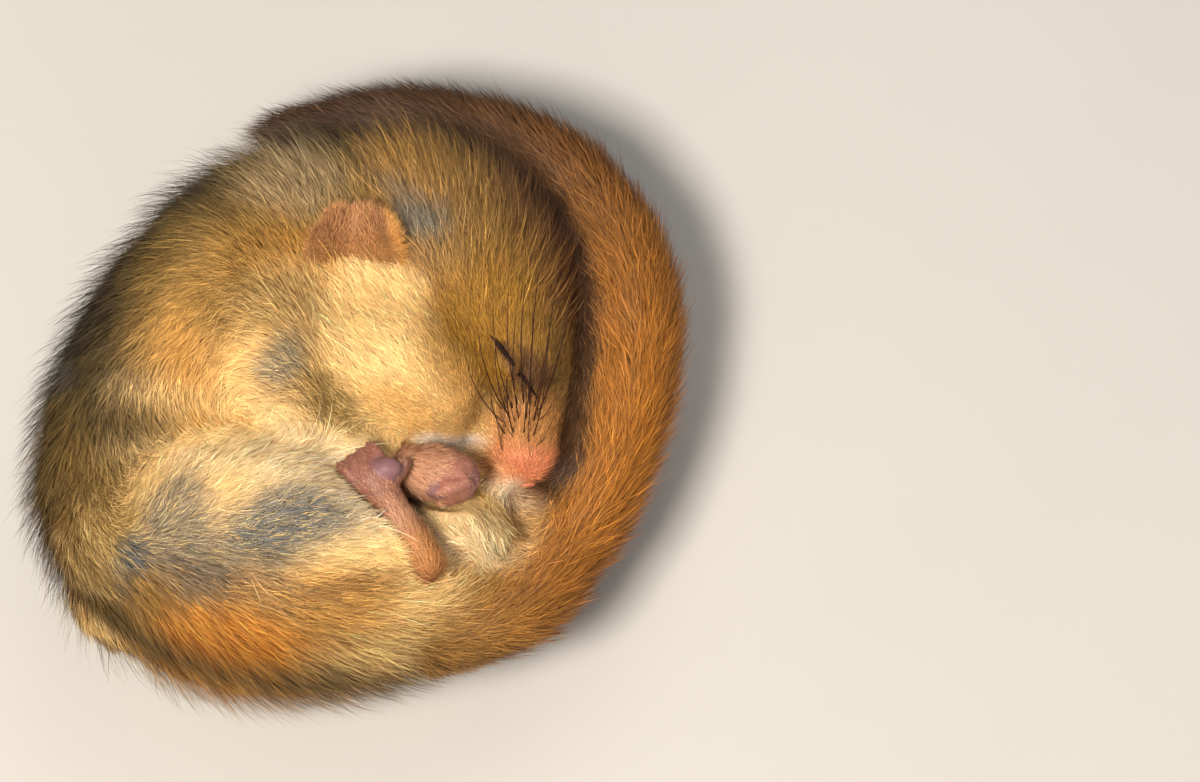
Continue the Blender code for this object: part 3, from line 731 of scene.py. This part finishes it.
def fill_creases(mesh, points, edges, weights, kinds, nose_far):
    """The points with borders softened and creases filled, and how far they are from bare parts."""
    wide = smoothed(weights, edges, BORDER_ROUNDS)
    border = ease(1 - wide.max(axis=1), 0.1, 0.36)
    cleft = wide[:, kinds.index("head")] * wide[:, kinds.index("tail")]
    border = border * (1 - ease(cleft, 0.02, 0.12))
    border = smoothed(border * ease(nose_far, 7.0, 11.0), edges, 6)
    calm = smoothed(points, edges, BORDER_ROUNDS)
    points = points + (calm - points) * (border * BORDER_SOFT)[:, None]
    bare_far = distance_to(points, [node for node, _, _ in LIMB_ENDS]) / MM
    set_points(mesh, points)
    _, normals = arrays_of(mesh)
    rise = np.sum((smoothed(points, edges, FILL_ROUNDS) - points) * normals, axis=1).clip(0.0, None)
    rise *= ease(bare_far, 1.6, 3.6) * ease(nose_far, 8.0, 12.0) * (1 - ease(cleft, 0.01, 0.06))
    points = smoothed(points + normals * smoothed(rise, edges, 6)[:, None], edges, 3)
    return points, bare_far


def coat_values(points, weights, kinds, nose_far, bare_far):
    """Depth, hair length, lift and density of the coat at each point."""
    table = np.array([COAT[k] for k in kinds], float)
    depth, length, lift, density = (weights @ table).T
    near_bare = 1 - ease(bare_far - BRIDGE, -0.2, 1.4)
    near_bare = near_bare * (1 - 0.8 * weights[:, kinds.index("shank")])
    length *= 1 - 0.6 * near_bare
    tail_far = far_from(TAIL_BASE, in_curl(points))
    length *= 1 - 0.5 * (weights[:, kinds.index("tail")] * ease(tail_far, 9.0, 5.0))
    face = weights[:, kinds.index("head")]
    depth += face * (np.interp(nose_far, *FACE_DEPTH) - depth)
    length += face * (np.interp(nose_far, *FACE_LENGTH) - length)
    lift += face * 14 * ease(nose_far, 5.0, 2.5)
    density += face * (np.interp(nose_far, *FACE_DENSITY) - density)
    return depth, length, lift, density


def sink_skin(mesh, points, edges, depth):
    """The points moved in under the coat along smoothed normals, with twisted folds eased."""
    first = None
    for _ in range(INWARD_STEPS):
        set_points(mesh, points)
        normals = unit(smoothed(arrays_of(mesh)[1], edges, 3))
        first = normals if first is None else first
        points = points - normals * ((depth + BRIDGE) / INWARD_STEPS * MM)[:, None]
        points = points + (smoothed(points, edges, 1) - points) * ease(depth, 0.6, 2.0)[:, None] * 0.5
    for _ in range(UNTWIST_ROUNDS):
        set_points(mesh, points)
        _, normals = arrays_of(mesh)
        twisted = ease(np.sum(first * normals, axis=1), 0.75, 0.35)
        twisted = np.minimum(smoothed(twisted, edges, 4) * 4, 1.0)
        points = points + (smoothed(points, edges, 12) - points) * twisted[:, None]
    set_points(mesh, points)
    return points


def make_skin():
    whole = object_of("skin", [grown(node, BRIDGE) for node in FUR_NODES])
    skin = keep_largest(remeshed(whole, SKIN_VOXEL))
    mesh = skin.data
    edges = edges_of(mesh)
    points, _ = arrays_of(mesh)
    nose_far = far_from(NOSE_TIP, in_curl(points))
    calm = eased_shape(smoothed(points, edges, 3), edges, SKIN_SMOOTH)
    fine = eased_shape(points, edges, FACE_SMOOTH)
    points = fine + (calm - fine) * ease(nose_far, 6.0, 12.0)[:, None]

    kinds = sorted({kind_of(n) for n in FUR_NODES})
    weights = shares_of_kinds(points, edges, kinds)
    points, bare_far = fill_creases(mesh, points, edges, weights, kinds, nose_far)
    depth, length, lift, density = coat_values(points, weights, kinds, nose_far, bare_far)
    points = sink_skin(mesh, points, edges, depth)
    _, normals = arrays_of(mesh)

    plan = in_curl(points)
    shares = {k: weights[:, i] for i, k in enumerate(kinds)}
    lie = sum(lie_of(kind, plan) * shares[kind][:, None] for kind in kinds)
    lie = smoothed(unit(lie), edges, LIE_ROUNDS)
    colour, plain = markings(plan, shares)
    return skin, dict(
        points=points, normals=normals, lie=lie, length=length, lift=lift, density=density,
        colour=colour, plain=plain, bare=np.ones(len(points)), plan=plan, **shares,
    )


def unwrap(thing):
    """A map of the piece's own shape, which its coat shares."""
    bpy.context.view_layer.objects.active = thing
    for other in bpy.context.selected_objects:
        other.select_set(False)
    thing.select_set(True)
    thing.data.uv_layers.new(name="OFBake")
    bpy.ops.object.mode_set(mode="EDIT")
    bpy.ops.mesh.select_all(action="SELECT")
    bpy.ops.uv.smart_project(angle_limit=math.radians(66), island_margin=0.002)
    bpy.ops.object.mode_set(mode="OBJECT")
    thing.select_set(False)


def write_colours(mesh, colours):
    layer = mesh.color_attributes.new("coat", "FLOAT_COLOR", "POINT")
    full = np.ones((len(colours), 4), np.float32)
    full[:, :3] = colours
    layer.data.foreach_set("color", full.ravel())


# The coat: thin tapered blades set along the lie


def wavy(points, scale, phase):
    """A smooth cloud between -1 and 1, made of a few waves."""
    total = np.zeros(len(points))
    for k in range(5):
        way = (math.sin(2.1 * k + phase), math.cos(1.7 * k + phase * 2), math.sin(3.3 * k + 1 + phase))
        total += np.sin(points @ np.array(way) * scale * (0.7 + 0.33 * k) + phase * (k + 1) * 1.9)
    return total / 3.2


def rooted(thing, fields, weight, count, rng):
    """Evenly spread roots on a piece, with every field read at each root."""
    corners, loops = triangles_of(thing.data)
    spots = read(thing.data.uv_layers["OFBake"].data, "uv", 2)
    a, b, c = (fields["points"][corners[:, k]] for k in range(3))
    area = np.linalg.norm(np.cross(b - a, c - a), axis=1)
    share = np.cumsum(area * weight[corners].mean(axis=1))
    draws = (np.arange(count) + rng.random(count)) / count * share[-1]
    chosen = np.searchsorted(share, draws)
    u, v = rng.random(count), rng.random(count)
    over = u + v > 1
    u[over], v[over] = 1 - u[over], 1 - v[over]
    bary = np.stack((1 - u - v, u, v), axis=1)
    hair = {"uv": np.einsum("nk,nkc->nc", bary, spots[loops[chosen]])}
    for key, values in fields.items():
        picked = values[corners[chosen]]
        hair[key] = np.einsum("nk,nkc->nc" if picked.ndim == 3 else "nk,nk->n", bary, picked)
    normal = hair["normals"] = unit(hair["normals"])
    lie = hair["lie"]
    hair["lie"] = unit(lie - normal * np.sum(lie * normal, axis=1)[:, None])
    return hair


def shaded(hair, rng, tone_spread, dark_share, root_dark):
    """Root, shaft and tip colours: grey-brown at the root, and some tips dark."""
    count = len(hair["points"])
    cream = ease(hair["colour"][:, 0], 0.5, 0.9)[:, None]
    tone = np.exp(rng.normal(0, tone_spread, count))[:, None]
    tone = 1 + (tone - 1) * (1 - 0.2 * cream)
    main = (hair["colour"] * tone).clip(0, 1)
    root_dark = root_dark * (1 - 0.35 * cream)
    dark = (rng.random(count) < dark_share)[:, None] * (1 - 0.6 * cream)
    hair["tones"] = (
        main * (1 - root_dark) * (1.0, 0.92, 0.85),
        main,
        (main * (1.06 - 0.75 * dark)).clip(0, 1),
    )
    return hair


def blade_mesh(name, verts, tones, facing, uv):
    """One mesh of many strips."""
    count, sides, _ = verts.shape
    steps = sides // 2
    corner = np.arange(count)[:, None] * sides
    faces = []
    for k in range(steps - 1):
        low = 2 * k
        faces.append(corner + np.array((low, low + 3, low + 1)))
        faces.append(corner + np.array((low, low + 2, low + 3)))
    last = 2 * (steps - 1)
    faces.append(corner + np.array((last, last + 2, last + 1)))
    faces = np.stack(faces, axis=1).reshape(-1, 3)
    mesh = bpy.data.meshes.new(name)
    mesh.vertices.add(count * sides)
    mesh.vertices.foreach_set("co", verts.ravel())
    mesh.loops.add(len(faces) * 3)
    mesh.loops.foreach_set("vertex_index", faces.ravel().astype(np.int32))
    mesh.polygons.add(len(faces))
    mesh.polygons.foreach_set("loop_start", np.arange(0, len(faces) * 3, 3, dtype=np.int32))
    mesh.update(calc_edges=True)
    mesh.shade_smooth()
    mesh.normals_split_custom_set_from_vertices(facing.reshape(-1, 3))
    write_colours(mesh, tones.reshape(-1, 3))
    spots = np.empty((count, sides, 2), np.float32)
    for k in range(sides):
        row, column = divmod(k, 2)
        shift = np.array(((0.5 if k == sides - 1 else column) - 0.5, row / steps - 0.5)) * MAP_SPAN
        spots[:, k] = uv + shift
    layer = mesh.uv_layers.new(name="OFBake")
    layer.data.foreach_set("uv", spots.reshape(-1, 2)[faces.ravel()].ravel())
    return mesh


def blades(name, hair, part, steps, look, rng):
    """Joined blades: each a strip that narrows to its tip and bends over towards the skin."""
    root, normal, lie = (hair[key][part] for key in ("points", "normals", "lie"))
    length, width, lift, uv = (hair[key][part] for key in ("length", "width", "lift", "uv"))
    count = len(root)
    plan = in_curl(root)
    turn = rng.normal(0, TURN_SPREAD, count) + 0.15 * wavy(plan, 1.3, 0.7) + 0.12 * wavy(plan, 4.0, 2.2)
    side = np.cross(normal, lie)
    way = lie * np.cos(turn)[:, None] + side * np.sin(turn)[:, None]
    side = np.cross(normal, way)
    roll = rng.normal(0, ROLL_SPREAD, count)
    across = side * np.cos(roll)[:, None] + normal * np.sin(roll)[:, None]
    sweep = rng.normal(0, SWEEP_SPREAD, count)
    place = root - normal * (ROOT_SUNK * MM)
    sides = steps * 2 + 1
    verts, tones, facing = (np.empty((count, sides, 3), np.float32) for _ in range(3))
    for k in range(steps):
        half = across * (width * MM * STEP_WIDTHS[steps][k] / 2)[:, None]
        verts[:, 2 * k] = place - half
        verts[:, 2 * k + 1] = place + half
        tones[:, 2 * k] = tones[:, 2 * k + 1] = hair["tones"][k][part]
        angle = lift * (1.25 - 0.9 * (k + 0.5) / steps)
        ahead = way * np.cos(angle)[:, None] + normal * np.sin(angle)[:, None]
        ahead = unit(ahead + side * (sweep * (k + 0.5) / steps)[:, None])
        outward = unit(normal * 1.2 + np.cross(ahead, across) * 0.8)
        facing[:, 2 * k] = facing[:, 2 * k + 1] = outward
        place = place + ahead * (length * MM * STEP_LENGTHS[steps][k])[:, None]
    verts[:, -1] = place
    tones[:, -1] = hair["tones"][-1][part]
    facing[:, -1] = outward
    over = np.maximum(verts[:, :, 2] - (cad_box[1][2] - TOP_SOFT * MM), 0.0)
    verts[:, :, 2] = np.maximum(verts[:, :, 2] - over * TOP_PRESS, FLOOR_CLEAR * MM)
    mesh = blade_mesh(name, verts, tones, facing, uv)
    mesh.materials.append(look)
    thing = new_object(name, mesh)
    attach(thing, "root")


REGIONS = {
    "head": ("head", "neck"),
    "cream": ("shank", "forearm", "torso_belly"),
    "tail": ("tail",),
    "back": ("torso_chest", "torso_loin", "torso_rump", "thigh", "upper_arm"),
}


def quick_share():
    return 1.0


def widened(width):
    return width / quick_share() ** 0.5


def grow_coat(skin, fields, look):
    rng = np.random.default_rng(SEED)
    low = ease(fields["plan"][:, 2], 9.0, 3.0)
    density = fields["density"] * fields["bare"] * (1 - 0.5 * low)
    total = int(BODY_BLADES * quick_share())
    hair = rooted(skin, fields, density, total, rng)
    unmarked = rng.random(total) < UNMARKED
    hair["colour"][unmarked] = hair["plain"][unmarked]
    hair = shaded(hair, rng, 0.3, 0.26, 0.55)
    hair["length"] = hair["length"] * rng.normal(1.0, 0.16, total).clip(0.5, 1.5)
    hair["lift"] = np.radians(hair["lift"]) * rng.normal(1.0, 0.3, total).clip(0.3, 2.0)
    width = 0.046 + 0.028 * ease(hair["length"], 0.5, 2.8)
    hair["width"] = widened(width * rng.normal(1.0, 0.15, total).clip(0.6, 1.5))
    hair["width"][unmarked] *= 0.6
    region = np.stack([sum(hair[kind] for kind in kinds) for kinds in REGIONS.values()]).argmax(axis=0)
    for k, name in enumerate(REGIONS):
        mine = np.nonzero(region == k)[0]
        pieces = max(1, math.ceil(len(mine) / PIECE_BLADES))
        for n in range(pieces):
            part = mine[n * len(mine) // pieces:(n + 1) * len(mine) // pieces]
            blades(f"coat_{name}_{n + 1}", hair, part, 2, look, rng)
    grow_guard_hairs(skin, fields, look, rng)


def grow_guard_hairs(skin, fields, look, rng):
    """Longer dark hairs that stand over the coat, most of them along the back."""
    plan = fields["plan"]
    outward = np.hypot(plan[:, 0], plan[:, 1])
    body = 1 - fields["tail"] - fields["shank"] * 0.6
    back = ease(outward, 12.0, 22.0) * body * ease(plan[:, 2], 4.0, 10.0)
    face = ease(far_from(NOSE_TIP, plan), 12.0, 20.0)
    total = int(GUARD_BLADES * quick_share())
    hair = rooted(skin, fields, (0.08 + back) * face * body, total, rng)
    hair = shaded(hair, rng, 0.35, 0.85, 0.3)
    hair["length"] = GUARD_LENGTH * rng.normal(1.0, 0.16, total).clip(0.6, 1.4)
    hair["lift"] = np.radians(GUARD_LIFT) * rng.normal(1.0, 0.25, total).clip(0.4, 1.6)
    hair["width"] = widened(np.full(total, GUARD_WIDTH))
    blades("guard_hairs", hair, slice(None), 3, look, rng)


# Bare parts: feet, hands, ears, lids, nose and whiskers


def tube(place_list, radii, sides=6):
    """A tapered round strand through the places, closed at both ends."""
    shape = bmesh.new()
    places = [Vector(p) for p in place_list]
    rings = []
    for k, place in enumerate(places):
        way = (places[min(k + 1, len(places) - 1)] - places[max(k - 1, 0)]).normalized()
        side = (side - way * side.dot(way) if rings else way.orthogonal()).normalized()
        other = way.cross(side)
        turns = [math.tau * n / sides for n in range(sides)]
        spokes = [side * math.cos(turn) + other * math.sin(turn) for turn in turns]
        rings.append([shape.verts.new(place + spoke * radii[k]) for spoke in spokes])
    for low, high in zip(rings, rings[1:]):
        for n in range(sides):
            m = (n + 1) % sides
            shape.faces.new((low[n], low[m], high[m], high[n]))
    shape.faces.new(rings[0][::-1])
    shape.faces.new(rings[-1])
    return shape


def ball(middle, size):
    model = bmesh.new()
    bmesh.ops.create_icosphere(model, subdivisions=3, radius=1.0)
    for vert in model.verts:
        vert.co = Vector([c * s * MM for c, s in zip(vert.co, size)]) + middle
    return model


def settle(thing, look, nodes=()):
    thing.data.materials.append(look)
    thing.data.shade_smooth()
    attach(thing, "root")
    if nodes:
        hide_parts(*nodes)


def painted_skin(thing, colour, look, nodes):
    write_colours(thing.data, colour)
    unwrap(thing)
    settle(thing, look, nodes)


def soft_copy(name, node, voxel, rounds, grow=0.0, extras=()):
    """A node's shape with its facets and creases rounded, and soft pads joined on."""
    thing = remeshed(object_of(name, [grown(node, grow), *extras]), voxel)
    edges = edges_of(thing.data)
    points, _ = arrays_of(thing.data)
    set_points(thing.data, smoothed(points, edges, rounds))
    return thing


def short_coat(thing, colour, lie, length, density, blade_count, look, rng, lift, width):
    """Sparse short hairs on a small bare piece."""
    points, normals = arrays_of(thing.data)
    count = len(points)
    fields = dict(
        points=points, normals=normals, lie=lie,
        length=np.broadcast_to(length, count).astype(float),
        colour=np.broadcast_to(colour, (count, 3)).astype(float),
    )
    total = int(blade_count * quick_share())
    hair = rooted(thing, fields, np.broadcast_to(density, count).astype(float), total, rng)
    hair = shaded(hair, rng, 0.15, 0.05, 0.15)
    hair["length"] = hair["length"] * rng.normal(1.0, 0.2, total).clip(0.4, 1.6)
    hair["lift"] = np.radians(lift) * rng.normal(1.0, 0.35, total).clip(0.2, 2.2)
    hair["width"] = widened(np.full(total, width))
    blades(f"{thing.name}_hairs", hair, slice(None), 2, look, rng)


def make_limb_ends(look, hair_look):
    """Hands and feet: soft pinkish skin with darker pads, and short pale hairs."""
    rng = np.random.default_rng(SEED + 1)
    for node, pads, toes in LIMB_ENDS:
        is_foot = node.startswith("foot")
        extras = [ball(at(*place), size) for place, size in pads]
        thing = soft_copy(f"{node}_skin", node, 0.14, 12, -0.12 if is_foot else 0.06, extras)
        points, normals = arrays_of(thing.data)
        plan = in_curl(points)
        start, end = (np.array(p) for p in toes)
        along = ((plan - start) @ (end - start)) / ((end - start) @ (end - start))
        if is_foot:
            slim = FOOT_SLIM * ease(along, 0.75, 0.45) * MM
            points -= smoothed(normals, edges_of(thing.data), 4) * slim[:, None]
            set_points(thing.data, points)
            plan = in_curl(points)
        colour = painted("foot" if is_foot else "paw", len(plan))
        bare = np.ones(len(plan))
        for place, size in pads:
            near = 1 - ease(np.linalg.norm((plan - place) / size, axis=1), 0.95, 1.35)
            colour = mix(colour, "pad", near)
            bare *= 1 - near
        if is_foot:
            colour = mix(colour, "umber", ease(along, 0.35, 0.0) * 0.6)
        colour = mix(colour, "pad", ease(along, 0.3, 0.8) * (1.0 if node.endswith("left") else 0.35))
        colour = mix(colour, "pad", ease(along, 0.95, 1.25) * 0.6)
        painted_skin(thing, colour, look, (node,))
        lie = straight(end - start, len(plan))
        pale = painted("paw_hair", len(plan))
        if is_foot:
            pale = mix(pale, "snout", ease(along, 0.45, 0.1) * 0.8)
        reach = 0.4 + 0.9 * ease(along, 0.9, 0.0)
        dense = bare * (0.25 + ease(along, 1.1, 0.2))
        short_coat(thing, pale, lie, reach, dense, LIMB_BLADES, hair_look, rng, 22.0, 0.045)


def make_ears(look, hair_look):
    """Ears: a dark cup, a warmer flap in front of a fold with painted shade in the crease before it, and
    short pale flecks.
    """
    rng = np.random.default_rng(SEED + 2)
    for node in ("ear_right", "ear_left"):
        up = -1.0 if node.endswith("left") else 1.0
        thing = soft_copy(f"{node}_skin", node, 0.16, 8)
        points, _ = arrays_of(thing.data)
        plan = in_curl(points)
        low = plan[:, 1].min()
        drop = EAR_DROP * ease(plan[:, 1], low + 2.8, low + 0.3)
        points[:, 2] -= up * drop * MM
        set_points(thing.data, points)
        _, normals = arrays_of(thing.data)
        fold = plan[:, 0] - EAR_FOLD + 0.25 * (plan[:, 1] - low - 2.5)
        # Painted shade in the crease just before the fold: the skin there takes crown_dark and the hairs
        # darken towards it
        crease = np.exp(-((fold + 0.25) / 0.3) ** 2)
        colour = mix(painted("ear", len(plan)), "ear_flap", ease(fold, -0.1, 0.5))
        colour = mix(colour, "crown_dark", crease * 0.7)
        colour = mix(colour, "crown", ease(plan[:, 1], low + 3.0, low + 1.0) * 0.5)
        painted_skin(thing, colour, look, (node,))
        root = np.array((plan[:, 0].mean(), low - 1.5, plan[:, 2].mean()))
        outer = 0.35 + 0.65 * ease(normals[:, 2] * up, -0.2, 0.3)
        fleck = mix(painted("ear_hair", len(plan)), "gold", ease(fold, 0.0, 0.5) * 0.7)
        fleck = mix(fleck, "crown_dark", crease * 0.8)
        lie = unit(plan - root)
        short_coat(thing, fleck, lie, 0.9, outer, EAR_BLADES, hair_look, rng, 26.0, 0.036)


def make_eyes(skin_tree, look, slit_look, hair_look):
    """The lids, hidden in short fur, and the dark line where they meet."""
    rng = np.random.default_rng(SEED + 3)
    turn = math.radians(LID_TURN)
    radii = [thick * MM for thick in EYE_LINE_THICK]
    for node in ("lids_right", "lids_left"):
        left = node.endswith("left")
        out = flipped(TO_CAMERA, left)
        thing = soft_copy(f"{node}_skin", node, 0.09, 2)
        points, _ = arrays_of(thing.data)
        middle = (points.max(axis=0) + points.min(axis=0)) / 2
        points = middle + (points - middle) * LID_SCALE - out * LID_SUNK * MM
        set_points(thing.data, points)
        _, normals = arrays_of(thing.data)
        off = (points - middle) / MM
        far = np.abs(off @ np.array((math.cos(turn), math.sin(turn), 0.0)))
        lid_tree = tree_of(points, triangles_of(thing.data)[0])
        colour = mix(painted("lid", len(points)), "maroon", ease(far, 0.5, 0.15))
        painted_skin(thing, colour, look, (node,))
        lie = straight((0.2, 1.0, 0.0), len(points))
        fur = mix(painted("ochre", len(points)), "maroon", ease(far, 0.9, 0.2) * 0.9)
        tops = ease(normals[:, 2] * (-1.0 if left else 1.0), -0.2, 0.2) * ease(far, 0.15, 0.4)
        short_coat(thing, fur, lie, 0.75, 0.02 + tops, LID_BLADES, hair_look, rng, 24.0, 0.05)
        line = []
        for place in EYE_LINE:
            hits = [seen(tree, *place, left) for tree in (skin_tree, lid_tree)]
            nearest = max((np.array(hit) for hit in hits if hit), key=lambda hit: hit @ out)
            line.append(nearest + out * EYE_LINE_RISE * MM)
        slit = object_of(f"closed_eye_{node[5:]}", [tube(line, radii, 8)])
        settle(slit, slit_look)


def make_nose(look):
    cleft_fill = ball(at(17.9, -6.9, 19.95), (0.95, 0.5, 0.95))
    thing = soft_copy("nose_skin", "nose", 0.07, 2, 0.04, [cleft_fill])
    points, _ = arrays_of(thing.data)
    middle = (points.max(axis=0) + points.min(axis=0)) / 2
    points = middle + (points - middle) * NOSE_SCALE
    points[:, 1] += NOSE_SUNK * MM
    set_points(thing.data, points)
    plan = in_curl(points)
    nostrils = ease(far_from(NOSTRILS, plan), 0.3, 0.15)
    colour = mix(painted("nose", len(plan)), "maroon", nostrils * 0.8)
    painted_skin(thing, colour, look, ("nose",))


def short_whiskers(rng):
    """Roots, ends, bow and rise of the short whiskers on the lips."""
    strands = []
    for _ in range(SHORT_WHISKERS):
        u, v = (rng.uniform(*span) for span in SHORT_ROOTS)
        lean = (u - SHORT_MIDDLE) * 0.25 + rng.normal(0, 0.2)
        reach = rng.uniform(1.4, 3.4)
        strands.append((u, v, u + lean * reach, v + reach, 0.3 * lean, 0.3))
    return strands


def make_whiskers(tree, look):
    """Long dark whiskers from the pad behind the nose, sweeping back over the face."""
    rng = np.random.default_rng(SEED + 4)
    right = np.array((1.0, 0.0, 0.0))
    for side_name in ("right", "left"):
        left = side_name == "left"
        out = flipped(TO_CAMERA, left)
        strands = []
        for k, (root_u, root_v, end_u, end_v, bow, rise) in enumerate(WHISKERS + short_whiskers(rng)):
            if left:
                end_u, end_v = root_u + (end_u - root_u) * 0.6, root_v + (end_v - root_v) * 0.6
            start = seen(tree, root_u, root_v, left)
            halfway = seen(tree, (root_u + end_u) / 2, (root_v + end_v) / 2, left)
            far = seen(tree, end_u, end_v, left)
            if start is None:
                continue
            start = np.array(start)
            reach = right * (end_u - root_u) + flipped(PICTURE_UP, left) * (end_v - root_v)
            bend = unit(np.cross(reach, out)) * bow
            crest = max(np.dot(np.array(p) - start, out) / MM for p in (start, halfway or start))
            last = np.dot(np.array(far) - start, out) / MM if far and end_u < HEAD_EDGE else crest
            crest = max(crest, last * 0.6) * 1.3
            middle = start + (reach * 0.5 + bend + out * (crest + rise * 1.6 + WHISKER_RISE)) * MM
            end = start + (reach + out * (max(last, 0.5 * crest) + rise + WHISKER_RISE)) * MM
            places = []
            for t in np.linspace(-0.03, 1, WHISKER_POINTS):
                places.append(start * (1 - t) ** 2 + middle * 2 * t * (1 - t) + end * t * t)
            thick = WHISKER_THICK * MM * rng.uniform(0.85, 1.15) * (1.0 if k < len(WHISKERS) else 0.6)
            tip = WHISKER_POINTS - 1
            radii = [thick * (1 - 0.55 * (n / tip) ** 2) for n in range(WHISKER_POINTS)]
            strands.append(tube(places, radii, 5))
        thing = object_of(f"whiskers_{side_name}", strands)
        settle(thing, look)


# Camera, lights and floor


def make_studio():
    mesh = bpy.data.meshes.new("floor")
    signs = [(-1, -1), (1, -1), (1, 1), (-1, 1)]
    mesh.from_pydata([(x * FLOOR_SIZE, y * FLOOR_SIZE, -FLOOR_DROP) for x, y in signs], [], [(0, 1, 2, 3)])
    floor = new_object("floor", mesh)
    look, tree, shader = material("floor_paper", 0.9, 0.2)
    varied_colour(tree, shader, flat_colour(tree, FLOOR_COLOUR), 40.0, 0.99, 1.01)
    mesh.materials.append(look)

    for name, place, wide, power, colour in LAMPS:
        lamp = bpy.data.lights.new(name, "AREA")
        lamp.size = wide
        lamp.energy = power
        lamp.color = colour
        thing = new_object(name, lamp)
        thing.location = place
        thing.rotation_euler = (Vector(LAMP_AIM) - Vector(place)).to_track_quat("-Z", "Y").to_euler()
    world = bpy.data.worlds.new("studio")
    bpy.context.scene.world = world
    world.use_nodes = True
    set_inputs(world.node_tree.nodes["Background"], Color=WORLD_COLOUR, Strength=WORLD_STRENGTH)


def make_camera():
    lens = bpy.data.cameras.new("camera")
    lens.lens = CAMERA_LENS
    lens.sensor_width = SENSOR
    lens.clip_start = 0.01
    far = FRAME_WIDE * CAMERA_LENS / SENSOR * MM
    way = Vector((0, -math.cos(RAISED), math.sin(RAISED)))
    camera = new_object("camera", lens)
    camera.location = at(*FRAME_MIDDLE) + way * far
    camera.rotation_euler = (-way).to_track_quat("-Z", "Y").to_euler()
    bpy.context.scene.camera = camera
    bpy.context.scene.view_settings.view_transform = "Standard"


def main():
    make_studio()
    make_camera()
    skin, fields = make_skin()
    plan = fields["plan"]
    eye_far = np.abs(line_far(pictured(plan), EYE_LINE[1:-1]))
    nose_far = far_from(NOSE_TIP, plan)
    fields["bare"] = ease(eye_far, 0.1, 0.35) * ease(nose_far, 0.8, 1.3)
    painted_skin(skin, fields["colour"] * 0.6, coat_material("coat_skin", 0.8), FUR_NODES)
    hair_look = coat_material("coat_hair", 0.55)
    grow_coat(skin, fields, hair_look)
    bare_look = soft_material("bare_skin", 0.5, 2600.0)
    make_limb_ends(bare_look, hair_look)
    make_ears(soft_material("ear_skin", 0.6, 1800.0), hair_look)
    tree = tree_of(fields["points"], triangles_of(skin.data)[0])
    eye_look = skin_material("eye_line", PALETTE["eye"], 0.75, 3000.0, 0.8, 1.2)
    make_eyes(tree, soft_material("lid_skin", 0.6, 3000.0), eye_look, hair_look)
    make_nose(soft_material("nose_leather", 0.35, 5000.0))
    make_whiskers(tree, skin_material("whisker", (0.03, 0.012, 0.008), 0.6, 2000.0, 0.7, 1.3, 0.1))


main()
